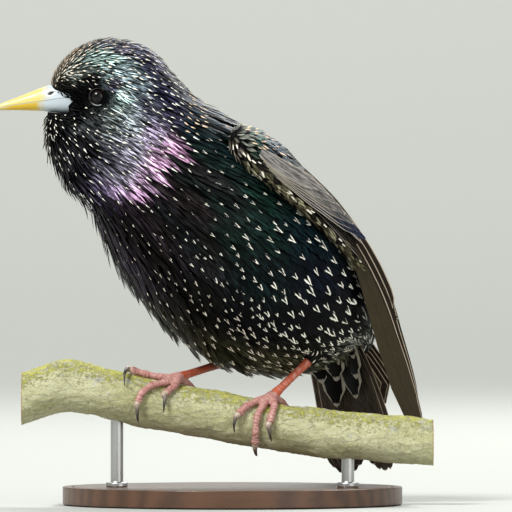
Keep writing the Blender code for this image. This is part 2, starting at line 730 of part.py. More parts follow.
class Wing(Fan):
    """Folded wing, read from the wrist along its leading edge."""

    def __init__(self, wrist, tip, bow, turn, side):
        self.wrist, self.tip = np.array(wrist), np.array(tip)
        self.bow, self.turn = bow, turn
        self.chord = float(np.linalg.norm(self.tip - self.wrist))
        _, _, left, self.dorsal, _, _, _ = Body.frame(13.0)
        self.out = left * side
        middle = math.radians(sum(turn) / 2.0)
        self.lift = self.out * math.cos(middle) + self.dorsal * math.sin(middle)

    def line(self, along):
        """Leading edge, bowed outwards."""
        share = along / self.chord
        return mix(self.wrist, self.tip, share) + self.lift * self.bow * 4.0 * share * (1.0 - share)

    def frame(self, along):
        """Way across the wing and its upper face at the leading edge."""
        way = unit(self.line(along + 1.0) - self.line(along - 1.0))
        turn = math.radians(mix(self.turn[0], self.turn[1], smooth(along / self.chord)))
        upper = self.out * math.cos(turn) + self.dorsal * math.sin(turn)
        upper = unit(upper - way * float(upper @ way))
        across = np.cross(way, upper)
        return unit(across if float(across @ self.dorsal) > 0.0 else -across), upper

    def place(self, along, across, rise):
        """Point of the wing and the upper direction there, the surface curling inwards."""
        way_across, upper = self.frame(along)
        bend = math.radians(WING_CURL * across)
        reach = 1.0 / math.radians(WING_CURL)
        turned = upper * math.cos(bend) + way_across * math.sin(bend)
        point = self.line(along) + way_across * math.sin(bend) * reach - upper * (1.0 - math.cos(bend)) * reach
        return point + turned * rise, turned

    def feathers(self):
        """Primaries, then every other tier."""
        made = []
        for i, reach in enumerate(PRIMARY_REACH):
            root = (PRIMARY_ROOT[0], PRIMARY_ROOT[1] + PRIMARY_ROOT_STEP * i)
            tip = (self.chord * reach, PRIMARY_TIP_ACROSS + PRIMARY_TIP_ACROSS_STEP * i)
            rise = (PRIMARY_STEP * i, PRIMARY_TIP_STEP * i)
            made.append(self.vane(root, tip, rise, PRIMARY_HALF_WIDTH, LONG_VANE))
        for tier in WING_TIERS:
            made += self.tier(*tier)
        return made


class Tail(Fan):
    """Hanging tail: its upward direction is the way its under side faces."""

    def __init__(self):
        self.root = np.array(TAIL_ROOT)
        self.way = unit(TAIL_WAY)
        heading = math.radians(TAIL_HEADING)
        left = np.array((math.sin(heading), -math.cos(heading), 0.0))
        self.left = unit(left - self.way * float(left @ self.way))
        under = np.cross(self.left, self.way)
        self.under = under if under[1] < 0.0 else -under

    def place(self, along, across, rise):
        """Point of the tail, arched a little across and bowed a little along."""
        fall = TAIL_ARCH * across * across + TAIL_BOW * math.sin(math.pi * along / TAIL_LENGTH)
        point = self.root + self.way * along + self.left * across + self.under * (rise - fall)
        return point, unit(self.under - self.left * 2.0 * TAIL_ARCH * across)

    def feathers(self):
        """Rectrices, then the coverts under and over their roots."""
        made = []
        for i in range(2 * len(TAIL_TIPS)):
            place = i - len(TAIL_TIPS) + 0.5
            rank = abs(place)
            rise = (RECTRIX_ROOT_RISE * rank, RECTRIX_TIP_RISE * rank + (RECTRIX_SIDE_RISE if place > 0 else 0.0))
            made.append(self.vane((3.0, place * RECTRIX_ROOT_STEP), (TAIL_TIPS[int(rank)], place * RECTRIX_TIP_STEP),
                                  rise, RECTRIX_HALF_WIDTH, LONG_VANE))
        for tier in TAIL_TIERS:
            made += self.tier(*tier)
        return made


def throat_plane():
    """Point and upward direction of the plane between head and throat."""
    slope = math.radians(THROAT_PLANE_SLOPE)
    up = (-math.sin(slope), 0.0, math.cos(slope))
    return (THROAT_PLANE_POINT[0], 0.0, THROAT_PLANE_POINT[1]), up


def hackle(station, angle, length, rng):
    """One lock of the ruff: it follows the body's surface towards the tail and lifts to its tip."""
    length *= rng.uniform(0.92, 1.08)
    drift = rng.uniform(-4.0, 4.0)
    reached, travelled = [station], [0.0]
    here = Body.point(station, angle)
    while travelled[-1] < length and reached[-1] < NECK_CUT + 2.0:
        step = reached[-1] + 0.1
        there = Body.point(step, angle)
        travelled.append(travelled[-1] + float(np.linalg.norm(there - here)))
        reached.append(step)
        here = there
    path, normals, sides, widths, thicks = [], [], [], [], []
    for share, width, rise in HACKLE_SHAPE:
        at = float(np.interp(share * length, travelled, reached))
        turn = angle + drift * share
        point, normal = Body.point(at, turn), Body.normal(at, turn)
        if at > NECK_CUT - 0.35:
            rise = max(rise, HACKLE_THICK / 2.0 + GAP + 0.15)
        ahead = Body.point(at + 0.05, turn) - Body.point(at - 0.05, turn)
        path.append(point + normal * rise)
        normals.append(normal)
        sides.append(unit(np.cross(normal, ahead)))
        widths.append(HACKLE_HALF_WIDTH * width)
        thicks.append(HACKLE_THICK * (1.0 if share < VANE_TIP_START else 0.5))
    return blade(path, sides, normals, widths, thicks)


def hackles(rng):
    """All locks of throat and neck, row by row, each row offset from the last."""
    made = []
    start, up = throat_plane()
    for row, (station, low, length) in enumerate(HACKLE_ROWS):
        _, _, _, _, _, down, width = Body.frame(station)
        arc = math.radians(360.0 - 2.0 * low) * (down + width) / 2.0
        count = max(int(arc / HACKLE_SPACING), 3)
        for i in range(count):
            share = (i + (0.5 if row % 2 else 0.25)) / count
            angle = low + (360.0 - 2.0 * low) * share + rng.uniform(-2.0, 2.0)
            if float((Body.point(station, angle) - start) @ up) < -HACKLE_ROOM:
                made.append(hackle(station + rng.uniform(-0.15, 0.15), angle, length, rng))
    return made


def make_body(shop):
    """Head, throat and neck, and trunk."""
    plumage = shop.material("plumage", (0.012, 0.016, 0.018), 0.42)
    point, up = throat_plane()
    head = shop.build("head", loft(body_rings(HEAD_RINGS, HEAD_SIDES)), plumage)
    shop.slice(head, point, up)
    neck = shop.build("neck", neck_core(), plumage)
    shop.slice(neck, point, tuple(-v for v in up))
    shop.fuse(head, [lid_ring(1.0), lid_ring(-1.0)])
    radius = EYE_DIAMETER / 2.0 + GAP
    sockets = [ball((EYE_PLACE[0], HEAD_Y - side * EYE_OFFSET, EYE_PLACE[1]), (radius,) * 3, 12, 7)
               for side in (1.0, -1.0)]
    shop.cut(head, [bill_cutter(), *sockets])
    shop.fuse(neck, hackles(shop.random))
    shop.cut(neck, [bill_cutter()])
    shop.build("torso", trunk_mesh(), plumage)


def make_face(shop):
    """Bill in two halves, with nostrils, and the eyes."""
    horn = shop.material("bill", (0.86, 0.68, 0.28), 0.35)
    upper = shop.build("bill_upper", loft(bill_rings(1, 2)), horn)
    nostrils = [ball((NOSTRIL_PLACE[0], HEAD_Y - side * NOSTRIL_PLACE[1], NOSTRIL_PLACE[2]), NOSTRIL_RADII, 8, 6)
                for side in (1.0, -1.0)]
    shop.cut(upper, nostrils)
    shop.build("bill_lower", loft(bill_rings(2, 3)), horn)
    glass = shop.material("eye", (0.02, 0.012, 0.008), 0.05)
    for name, side in (("left", 1.0), ("right", -1.0)):
        centre = (EYE_PLACE[0], HEAD_Y - side * EYE_OFFSET, EYE_PLACE[1])
        shop.build("eye_" + name, ball(centre, (EYE_DIAMETER / 2.0,) * 3, 12, 8), glass)


def make_wings(shop):
    """Both folded wings, cut clear of the trunk."""
    plumage = shop.material("flight_feathers", (0.055, 0.048, 0.042), 0.5)
    for name, sizes in (("left", WING_LEFT), ("right", WING_RIGHT)):
        wing = Wing(**sizes)
        obj = shop.build("wing_" + name, wing.core(WING_CORE), plumage)
        shop.fuse(obj, wing.feathers())
        shop.cut(obj, body_clearance(), "MANIFOLD")


def make_tail(shop):
    """Rump end, rectrices and coverts in one node."""
    plumage = shop.material("flight_feathers", (0.055, 0.048, 0.042), 0.5)
    tail = Tail()
    stations = stations_between(TAIL_CUT, LAST_STATION, 7)
    core = [(along, -half, half, upper, under) for along, half, upper, under in TAIL_CORE]
    obj = shop.build("tail", loft(body_rings(stations, HEAD_SIDES, 0.0, GAP / 2.0)), plumage)
    shop.fuse(obj, [tail.core(core), *tail.feathers()])
    shop.cut(obj, [trunk_mesh(GAP)], "MANIFOLD")


def toe_path(palm, places):
    """Centre line and radii of a toe from the palm to its claw."""
    points = [palm]
    for i, place in enumerate(places):
        points.append(Branch.place(*place, TOE_RADIUS * (0.8 if i < len(places) - 1 else 1.3)))
    joints = len(points) - 1
    count = TOE_STEPS * joints
    path = [spline(points, i / TOE_STEPS) for i in range(count + 1)]
    radii = []
    for i in range(count + 1):
        pad = TOE_PAD * math.cos(2.0 * math.pi * i / TOE_STEPS)
        radii.append(TOE_RADIUS * (1.08 - 0.2 * i / count + pad))
    return path, radii


def make_toe(shop, name, palm, places, claw, finishes):
    """One toe beyond its stub, with its claw; the stub itself is given back."""
    skin, horn = finishes
    path, radii = toe_path(palm, places)
    rest = [path[TOE_STUB] + unit(path[TOE_STUB + 1] - path[TOE_STUB]) * GAP, *path[TOE_STUB + 1:]]
    toe = shop.build("toe_" + name, tube(rest, radii[TOE_STUB:], TOE_SIDES), skin)
    shop.cut(toe, [Branch.mesh(GAP)])
    ahead = unit(path[-1] - path[-2])
    line = [path[-1] + ahead * (GAP + CLAW_START), *[Branch.place(*place) for place in claw]]
    count = len(CLAW_RADII) - 1
    nail = [path[-1] + ahead * GAP, *[spline(line, (len(line) - 1) * i / (count - 1)) for i in range(count)]]
    shop.cut(shop.build("claw_" + name, tube(nail, CLAW_RADII, TOE_SIDES), horn), [Branch.mesh(GAP)])
    return tube(path[:TOE_STUB + 1], radii[:TOE_STUB + 1], TOE_SIDES)


def make_legs(shop):
    """Feathered shin, tarsus with palm, toes and claws on both sides."""
    skin = shop.material("leg_skin", (0.62, 0.26, 0.18), 0.5)
    horn = shop.material("claw", (0.16, 0.14, 0.13), 0.35)
    plumage = shop.material("plumage", (0.012, 0.016, 0.018), 0.42)
    for side, foot in FEET.items():
        top = np.array(foot["tarsus_top"])
        palm = Branch.place(*foot["palm"], PALM_RISE)
        way = unit(palm - top)
        shin = unit(foot["shin"])
        path = [top - way * SHIN[0][0]]
        for length, _ in SHIN[1:]:
            path.append(top + unit(mix(-way, shin, smooth(length / SHIN[-2][0]))) * length)
        obj = shop.build("thigh_" + side, tube(path, [radius for _, radius in SHIN], SHIN_SIDES), plumage)
        shop.cut(obj, [trunk_mesh(GAP)])
        line = [mix(top, palm, share) for share, _ in TARSUS]
        leg = shop.build("tarsus_" + side, tube(line, [radius for _, radius in TARSUS], TARSUS_SIDES), skin)
        stubs = [make_toe(shop, side + "_" + name, palm, places, claw, (skin, horn))
                 for name, (places, claw) in TOES[side].items()]
        shop.fuse(leg, stubs)
        shop.cut(leg, [Branch.mesh(GAP), trunk_mesh(GAP)])


def make_stand(shop):
    """Branch, two rods and the round base."""
    bark = shop.material("bark", (0.36, 0.36, 0.25), 0.85)
    metal = shop.material("stand_metal", (0.55, 0.55, 0.56), 0.35, 1.0)
    board = shop.material("stand_board", (0.23, 0.14, 0.08), 0.5)
    shop.build("stand_perch", Branch.mesh(), bark)
    for name, x in zip(("left", "right"), ROD_PLACES):
        top = Branch.centre(x)
        rod = tube([(x, top[1], BASE_HEIGHT + GAP), top], [ROD_RADIUS] * 2, ROD_SIDES)
        shop.cut(shop.build("stand_rod_" + name, rod, metal), [Branch.mesh(GAP)])
    rings = []
    for radius, z in ((BASE_RADIUS - 0.6, 0.0), (BASE_RADIUS, 0.6), (BASE_RADIUS, BASE_HEIGHT - BASE_EDGE),
                      (BASE_RADIUS - BASE_EDGE, BASE_HEIGHT)):
        rings.append([(BASE_CENTRE_X + radius * math.cos(turn), radius * math.sin(turn), z)
                      for turn in turns(BASE_SIDES)])
    shop.build("stand_base", loft(rings), board)


def main():
    """Build the whole model."""
    clear_scene()
    shop = Workshop("starling")
    make_body(shop)
    make_face(shop)
    make_wings(shop)
    make_tail(shop)
    make_legs(shop)
    make_stand(shop)


if __name__ == "__main__":
    main()
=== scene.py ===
"""Common starling, adult, as a still life-size model on a cut branch: its visual model.

Lengths are in millimetres and angles in degrees until a mesh is made. The bill points to -X,
the left flank to -Y and +Z is up. Feathers are thin closed vanes that follow the body's form.
"""

import logging
import math
from dataclasses import dataclass
from enum import Enum
from typing import Any, Callable, Sequence

import bmesh
import bpy
import numpy as np
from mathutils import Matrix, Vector, kdtree, noise


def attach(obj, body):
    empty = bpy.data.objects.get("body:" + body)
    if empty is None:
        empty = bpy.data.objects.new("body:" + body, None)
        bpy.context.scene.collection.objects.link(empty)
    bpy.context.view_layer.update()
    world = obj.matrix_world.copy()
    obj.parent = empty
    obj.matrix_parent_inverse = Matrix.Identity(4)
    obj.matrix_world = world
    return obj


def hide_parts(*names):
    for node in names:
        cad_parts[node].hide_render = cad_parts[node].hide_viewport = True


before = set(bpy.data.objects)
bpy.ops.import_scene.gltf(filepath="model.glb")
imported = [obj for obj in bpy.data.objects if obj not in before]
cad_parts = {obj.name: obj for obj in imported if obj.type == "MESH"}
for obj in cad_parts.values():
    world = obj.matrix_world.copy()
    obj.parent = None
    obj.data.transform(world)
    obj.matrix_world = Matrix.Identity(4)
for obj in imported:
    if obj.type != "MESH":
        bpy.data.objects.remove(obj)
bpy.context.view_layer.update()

Array = np.ndarray
Material = bpy.types.Material
Piece = bpy.types.Object
Triple = tuple[float, float, float]
Row = Sequence[float]
Rows = Sequence[Row]
Region = Callable[[Array, Array], Array]
MM = 0.001
SEED = 11
LOG = logging.getLogger("starling")

# Body stations from the forehead to the rump: centre, pitch and heading of the ring's plane,
# reach up and down in that plane, and half width
STATIONS = np.array((
    (-56.2, -22, 140.4, 3, 2, 3.4, 4.2, 3.4),
    (-55.4, -22, 141.4, 12, 2, 9.2, 8.3, 7.4),
    (-53.2, -22, 142.4, 17, 2, 13.8, 13.6, 10.2),
    (-50.5, -22, 141.2, 19.6, 2, 18.6, 18.2, 12.2),
    (-46, -22, 139.3, 21.9, 3, 23.2, 22.6, 13.6),
    (-41.5, -22, 136.8, 22.9, 4, 25.8, 25.2, 14.6),
    (-36.9, -22, 133.5, 25.2, 6, 28, 27.4, 15.8),
    (-33.1, -21.8, 131, 27.3, 9, 28.2, 27.6, 17.2),
    (-29.3, -21.4, 127.8, 29, 14, 27.6, 28, 19.2),
    (-25.6, -20.8, 123.5, 31, 21, 27.2, 28.4, 22),
    (-21, -19.6, 117.6, 35, 28, 28.2, 29, 25.2),
    (-11.4, -15, 107.1, 39, 36, 33, 32.6, 29.4),
    (-1, -7.6, 96.8, 38, 40, 34.5, 36, 31.8),
    (9.7, 0.6, 87.4, 34, 41, 34.8, 37.4, 32.4),
    (19.5, 8.4, 78.6, 30, 42, 33, 35.6, 31),
    (29.5, 16.4, 71.4, 26, 43, 29, 29, 27),
    (39, 24.2, 66.4, 24, 44, 23, 21, 21.4),
    (45.2, 28.8, 62.4, 34, 45, 16.4, 14, 15.6),
    (48, 30.8, 56.7, 52, 46, 10, 9, 11),
    (47.9, 30.8, 50, 66, 46, 4.6, 4.4, 8),
))
LAST_STATION = float(len(STATIONS) - 1)
HEAD_Y = -22
EYE_X, EYE_Z = -39.1, 140.7

# Bill stations from the gape to the tip: x, culmen, cutting edge, lower edge, half width
BILL_STATIONS = (
    (-48.6, 146, 140.6, 134.6, 4.4),
    (-52.6, 145.6, 140.3, 135.3, 4.2),
    (-57.4, 144.6, 139.6, 135.9, 3.5),
    (-62.8, 142.5, 138.9, 136.2, 2.7),
    (-68.4, 140.3, 138.1, 136.3, 2),
    (-73.1, 138.5, 137.2, 136.3, 1.3),
    (-76.6, 136.9, 136.5, 136.2, 0.5),
)

# Edge of the plumage round the bill's base: x and height, from the chin up to the forehead
BILL_EDGE = np.array((
    (-50, 134.9), (-49.3, 135.8), (-49.4, 137.8), (-48, 139.3), (-50.6, 140.9), (-53.8, 141.5),
    (-54.2, 143.4), (-57.2, 145.1),
))

# Branch centre line and the places of toes round it: along the branch, round it from the crest
BRANCH_LINE = np.array((
    (-66, -8.4, 36.4),
    (-53.4, -8, 40.8),
    (-43, -7.6, 40.2),
    (-33.8, -7.8, 37.6),
    (-16.9, -8, 34.2),
    (5.9, -8, 29.9),
    (22.1, -8.2, 26.9),
    (37.6, -8.4, 24.7),
    (59, -8.2, 22.9),
    (76.6, -8, 21.5),
))
FEET = {
    "left": dict(palm=(20.9, 6), tarsus_top=(33.8, -3.4, 50), shin=(-0.35, 0.55, 0.76)),
    "right": dict(palm=(-11.6, 4), tarsus_top=(3.8, 12.8, 48.8), shin=(0.1, -0.25, 0.96)),
}
TOES = {
    "left": {
        "inner": (((15.4, 33), (11.4, 56), (8.7, 78)),
                  ((7.7, 88, 2), (7.3, 101, 2.3), (7.5, 116, 1.4))),
        "middle": (((17.7, 40), (15.2, 76), (14.7, 108), (14.5, 132)),
                   ((14.4, 142, 2.4), (14.8, 156, 3), (15.3, 172, 2.4))),
        "outer": (((21.4, 42), (20.6, 66), (19.6, 84)),
                  ((19.5, 94, 2), (20, 108, 2.2), (20.6, 121, 1.4))),
        "hind": (((24.2, -24), (26.4, -48), (27.6, -66)),
                 ((28.2, -76, 2.1), (28.8, -92, 2.4), (29.2, -106, 1.4))),
    },
    "right": {
        "inner": (((-17.4, 12), (-22.8, 11), (-27.2, 16)),
                  ((-28.8, 27, 2), (-29.6, 46, 2.5), (-29.5, 66, 1.5))),
        "middle": (((-15.6, 30), (-20, 48), (-23.4, 72), (-24.7, 92)),
                   ((-25, 103, 2.3), (-24.9, 120, 2.8), (-24.5, 136, 1.6))),
        "outer": (((-12.4, 34), (-14.2, 50), (-15.9, 63)),
                  ((-16.2, 74, 2), (-16.5, 88, 2.4), (-16.7, 102, 1.5))),
        "hind": (((-8.2, -24), (-6, -46), (-4.8, -64)),
                 ((-4.2, -74, 2.1), (-3.8, -90, 2.4), (-3.6, -104, 1.4))),
    },
}


def unit(vectors: Array) -> Array:
    """Return vectors at length one."""
    return vectors / np.maximum(np.linalg.norm(vectors, axis=-1, keepdims=True), 1e-9)


def folded(angle: Array) -> Array:
    """Angle from the back, alike on both sides."""
    return np.abs((angle + 180) % 360 - 180)


def together(*values: Any) -> list[Array]:
    """Numbers as arrays of one shape."""
    return np.broadcast_arrays(*(np.asarray(value, float) for value in values))


def ease(value: Array) -> Array:
    """Ease from nought to one."""
    value = np.clip(value, 0, 1)
    return value * value * (3 - 2 * value)


def spline(table: Array, at: Array) -> Array:
    """Catmull-Rom rows of a table.

    Args:
        table: rows of numbers.
        at: fractional row numbers, of any shape.

    Returns:
        One row for each place.
    """
    table = np.asarray(table, float)
    last = len(table) - 1
    at = np.clip(np.asarray(at, float), 0, last)
    low = np.minimum(at.astype(int), last - 1)
    t = (at - low)[..., None]
    padded = np.concatenate(([2 * table[0] - table[1]], table, [2 * table[-1] - table[-2]]))
    p0, p1, p2, p3 = padded[low], padded[low + 1], padded[low + 2], padded[low + 3]
    return 0.5 * (2 * p1 + (p2 - p0) * t + (2 * p0 - 5 * p1 + 4 * p2 - p3) * t * t
                  + (3 * p1 - p0 - 3 * p2 + p3) * t ** 3)


def paint(red: float, green: float, blue: float) -> Triple:
    """Scene-linear colour of a paint named by its 0 to 255 screen values."""
    def linear(value: float) -> float:
        """Undo the screen's curve."""
        value /= 255
        return value / 12.92 if value <= 0.04045 else ((value + 0.055) / 1.055) ** 2.4
    return linear(red), linear(green), linear(blue)


def toned(red: float, green: float, blue: float, metal: float, rough: float) -> Array:
    """Screen colour of a feather with its metal and roughness."""
    return np.array((*paint(red, green, blue), metal, rough))


def spread(pair: Rows, count: int) -> Array:
    """Values evenly from the first to the last of a pair."""
    share = np.linspace(0, 1, count)[:, None]
    return np.array(pair[0]) * (1 - share) + np.array(pair[1]) * share


def scatter(points: Array, radii: Array) -> Array:
    """Pick points in order so that each keeps its own distance from those picked before it.

    Args:
        points: places, already in a random order.
        radii: distance that each keeps.

    Returns:
        Numbers of the picked points.
    """
    cell = float(radii.max())
    grid: dict[tuple[int, int, int], list[list[float]]] = {}
    steps = [(i, j, k) for i in (0, -1, 1) for j in (0, -1, 1) for k in (0, -1, 1)]
    kept = []
    cells = np.floor(points / cell).astype(int).tolist()
    for number, (place, (x, y, z), radius) in enumerate(zip(points.tolist(), cells, radii.tolist())):
        limit = radius * radius
        crowded = False
        for i, j, k in steps:
            for other in grid.get((x + i, y + j, z + k), ()):
                if ((place[0] - other[0]) ** 2 + (place[1] - other[1]) ** 2
                        + (place[2] - other[2]) ** 2) < limit:
                    crowded = True
                    break
            if crowded:
                break
        if not crowded:
            grid.setdefault((x, y, z), []).append(place)
            kept.append(number)
    return np.array(kept, int)


class Surface:
    """A smooth form read at a station along it and an angle round it."""

    span = (0, 1)
    reach = 0.05

    def point(self, station: Array, angle: Array) -> Array:
        """Places on the surface."""
        raise NotImplementedError

    def facing(self, station: Array, angle: Array) -> tuple[Array, Array]:
        """Which way the surface faces.

        Args:
            station: places along.
            angle: places round, in degrees.

        Returns:
            The outward direction, and millimetres for each station.
        """
        low = np.maximum(station - self.reach, self.span[0])
        high = np.minimum(station + self.reach, self.span[1])
        along = self.point(high, angle) - self.point(low, angle)
        across = self.point(station, angle + 2) - self.point(station, angle - 2)
        scale = np.linalg.norm(along, axis=-1) / np.maximum(high - low, 1e-6)
        return unit(np.cross(across, along)), scale

    def track(self, station: Array, angle: Array, length: Array, turn: Array, rows: int) -> "Track":
        """Follow the surface from roots to tips.

        Args:
            station: places of the roots along.
            angle: places of the roots round.
            length: how far each goes.
            turn: degrees by which each leans towards a greater angle.
            rows: places on each path.

        Returns:
            The paths with their directions.
        """
        step = length / (2 * (rows - 1))
        lean_ahead, lean_round = np.cos(np.radians(turn)), np.sin(np.radians(turn))
        stations, angles = [station], [angle]
        for number in range(2 * (rows - 1)):
            here = self.point(station, angle)
            scale = self.facing(station, angle)[1]
            girth = np.linalg.norm(self.point(station, angle + 1) - here, axis=-1)
            station = np.clip(station + lean_ahead * step / np.maximum(scale, 0.4), *self.span)
            angle = angle + lean_round * step / np.maximum(girth, 0.05)
            if number % 2:
                stations.append(station)
                angles.append(angle)
        stations, angles = np.stack(stations, 1), np.stack(angles, 1)
        path = self.point(stations, angles)
        return Track(path, self.facing(stations, angles)[0], stations, angles, length)


@dataclass
class Track:
    """Paths that feathers follow, root first."""

    path: Array
    normal: Array
    station: Array
    angle: Array
    length: Array

    def raised(self, root: Any, tip: Any, power: float = 1) -> "Track":
        """Lift the paths off the surface, from a height at the root to another at the tip."""
        rows = self.path.shape[1]
        share = (np.arange(rows) / (rows - 1)) ** power
        root, tip = (np.broadcast_to(value, self.length.shape)[:, None] for value in (root, tip))
        height = root + (tip - root) * share
        path = self.path + self.normal * height[..., None]
        return Track(path, self.normal, self.station, self.angle, self.length)

    def part(self, keep: Array) -> "Track":
        """Some of the paths."""
        tables = (self.path, self.normal, self.station, self.angle, self.length)
        return Track(*(table[keep] for table in tables))


class BodyForm(Surface):
    """Outer form of head, neck and trunk: angle 0 is the back, 90 the left side, 180 the belly."""

    span = (0, LAST_STATION)
    face_back, face_front, face_height = -33, -51, 139.6
    face_spread, face_pinch = 7.6, 0.66

    def ring(self, station: Array) -> tuple[Array, Array, Array, Array]:
        """Centre, left and dorsal directions, and the reaches of the rings at some stations."""
        row = spline(STATIONS, station)
        pitch, heading = np.radians(row[..., 3]), np.radians(row[..., 4])
        nought = np.zeros_like(pitch)
        ahead = np.stack((-np.cos(heading), -np.sin(heading), nought), -1)
        left = np.stack((np.sin(heading), -np.cos(heading), nought), -1)
        dorsal = -ahead * np.sin(pitch)[..., None] + np.stack((nought, nought, np.cos(pitch)), -1)
        return row[..., :3], left, dorsal, row[..., 5:8]

    def point(self, station: Array, angle: Array, grow: float = 0) -> Array:
        """Places on the surface, grown outwards by a distance."""
        station, angle = together(station, angle)
        centre, left, dorsal, reaches = self.ring(station)
        c, s = np.cos(np.radians(angle)), np.sin(np.radians(angle))
        reach = np.where(c > 0, reaches[..., 0], reaches[..., 1]) + grow
        axis = centre + dorsal * (c * reach)[..., None]
        near = ease((self.face_back - axis[..., 0]) / (self.face_back - self.face_front))
        level = np.exp(-(((axis[..., 2] - self.face_height) / self.face_spread) ** 2))
        width = reaches[..., 2] * (1 - self.face_pinch * near * level) + grow
        return axis + left * (s * width)[..., None]


class FanForm:
    """A curved sheet that vanes lie on, read at lengths along it, across it and up from it."""

    def place(self, along: Array, across: Array, rise: Array) -> tuple[Array, Array]:
        """Points and upper directions."""
        raise NotImplementedError

    def track(self, start: Array, end: Array, rise: Array, rows: int) -> Track:
        """Straight paths on the sheet.

        Args:
            start: root places, along and across.
            end: tip places, along and across.
            rise: heights at root and tip.
            rows: places on each path.

        Returns:
            The paths; stations hold the length along and angles the place across.
        """
        share = np.arange(rows) / (rows - 1)
        along = start[:, :1] * (1 - share) + end[:, :1] * share
        across = start[:, 1:] * (1 - share) + end[:, 1:] * share
        height = rise[:, :1] * (1 - share) + rise[:, 1:] * share
        path, upper = self.place(along, across, height)
        length = np.linalg.norm(np.diff(path, axis=1), axis=-1).sum(axis=1)
        return Track(path, upper, along, across, length)


class WingForm(FanForm):
    """Folded wing, read from the wrist along its leading edge."""

    curl = 1.15
    core_table = np.array((
        (-5, 4, 9, 0, 4),
        (-2, 0, 15, -3, 6),
        (6, -1.5, 22, -5, 7),
        (18, -1.5, 29, -5, 7.2),
        (32, -1.2, 31, -3.6, 7.2),
        (46, 0, 28, -1.8, 6.6),
        (60, 2, 21, 0, 6),
        (70, 5, 15, 2, 5.2),
    ))

    def __init__(self, body: BodyForm, wrist: Row, tip: Row, bow: float,
                 turn: tuple[float, float], side: float) -> None:
        """Set the wing by its wrist and tip, its outward bow and the turn of its upper face."""
        self.wrist, self.tip = np.array(wrist), np.array(tip)
        self.bow, self.turn, self.side = bow, turn, side
        self.chord = float(np.linalg.norm(self.tip - self.wrist))
        _, left, dorsal, _ = body.ring(np.array(13))
        self.out, self.dorsal = left * side, dorsal
        middle = math.radians(sum(turn) / 2)
        self.lift = self.out * math.cos(middle) + self.dorsal * math.sin(middle)

    def line(self, along: Array) -> Array:
        """Leading edge, bowed outwards."""
        share = (along / self.chord)[..., None]
        return self.wrist * (1 - share) + self.tip * share + self.lift * self.bow * 4 * share * (1 - share)

    def place(self, along: Array, across: Array, rise: Array) -> tuple[Array, Array]:
        """Points of the wing and the upper directions, the surface curling inwards."""
        along, across, rise = together(along, across, rise)
        way = unit(self.line(along + 1) - self.line(along - 1))
        share = ease(along / self.chord)
        turn = np.radians(self.turn[0] * (1 - share) + self.turn[1] * share)[..., None]
        upper = self.out * np.cos(turn) + self.dorsal * np.sin(turn)
        upper = unit(upper - way * (upper * way).sum(-1, keepdims=True))
        side = np.cross(way, upper)
        side = unit(side * np.sign((side * self.dorsal).sum(-1, keepdims=True)))
        bend = np.radians(self.curl * across)[..., None]
        reach = 1 / math.radians(self.curl)
        turned = upper * np.cos(bend) + side * np.sin(bend)
        point = self.line(along) + side * np.sin(bend) * reach - upper * (1 - np.cos(bend)) * reach
        return point + turned * rise[..., None], turned


class WingCoreForm(Surface):
    """Flesh of the wing as a surface: angle 90 is its upper side, 180 its leading edge."""

    span = (-5, 70)
    reach = 0.6

    def __init__(self, wing: WingForm, inset: float = 0) -> None:
        """Lie on a wing, drawn in by a distance."""
        self.wing, self.inset = wing, inset

    def point(self, station: Array, angle: Array) -> Array:
        """Places on the flesh."""
        station, angle = together(station, angle)
        table = self.wing.core_table
        low, high, under, over = (np.interp(station, table[:, 0], table[:, i]) for i in range(1, 5))
        turn = np.radians(angle)
        across = (low + high) / 2 + ((high - low) / 2 - self.inset) * np.cos(turn)
        rise = (under + over) / 2 + ((over - under) / 2 - self.inset) * np.sin(turn)
        return self.wing.place(station, across, rise)[0]


class TailForm(FanForm):
    """Hanging tail: its upward direction is the way its under side faces."""

    arch, bow, length = 0.010, 1.6, 61

    def __init__(self) -> None:
        """Set the tail by its root, the way that it hangs and its heading."""
        self.root = np.array((41, 28, 62))
        self.way = unit(np.array((0.25, 0.13, -0.96)))
        heading = math.radians(47)
        left = np.array((math.sin(heading), -math.cos(heading), 0))
        self.left = unit(left - self.way * float(left @ self.way))
        under = np.cross(self.left, self.way)
        self.under = under if under[1] < 0 else -under

    def place(self, along: Array, across: Array, rise: Array) -> tuple[Array, Array]:
        """Points of the tail, arched a little across and bowed a little along."""
        along, across, rise = together(along, across, rise)
        fall = self.arch * across * across + self.bow * np.sin(np.pi * along / self.length)
        point = (self.root + along[..., None] * self.way + across[..., None] * self.left
                 + (rise - fall)[..., None] * self.under)
        return point, unit(self.under - self.left * (2 * self.arch * across)[..., None])


class BranchForm:
    """The cut length of branch: its centre line, thickness and bark places."""

    thick, thin, swell, palm_height = 9.4, 8.3, 0.018, 1.9

    def centre(self, x: Array) -> Array:
        """Centre of the branch at places along X."""
        at = np.interp(x, BRANCH_LINE[:, 0], np.arange(len(BRANCH_LINE)))
        return spline(BRANCH_LINE, at)

    def foot(self, side: str) -> tuple[Array, Array]:
        """Top of a foot's tarsus, and its palm over the bark."""
        return np.array(FEET[side]["tarsus_top"]), self.place(*FEET[side]["palm"], self.palm_height)

    def radius(self, x: Array, turn: Array) -> Array:
        """Radius at a place, with the slow swellings of old bark."""
        share = (x - BRANCH_LINE[0][0]) / (BRANCH_LINE[-1][0] - BRANCH_LINE[0][0])
        wave = np.sin(x * 0.21 + 2 * turn) + 0.7 * np.sin(x * 0.37 - 3 * turn + 1.3)
        return (self.thick + (self.thin - self.thick) * share) * (1 + self.swell * wave)

    def place(self, x: Array, degrees: Array, rise: Array) -> Array:
        """Points over the bark; nought degrees is the crest and ninety the near side."""
        x, degrees, rise = together(x, degrees, rise)
        turn = np.radians(degrees)
        out = np.stack((np.zeros_like(turn), -np.sin(turn), np.cos(turn)), -1)
        return self.centre(x) + out * (self.radius(x, turn) + rise)[..., None]


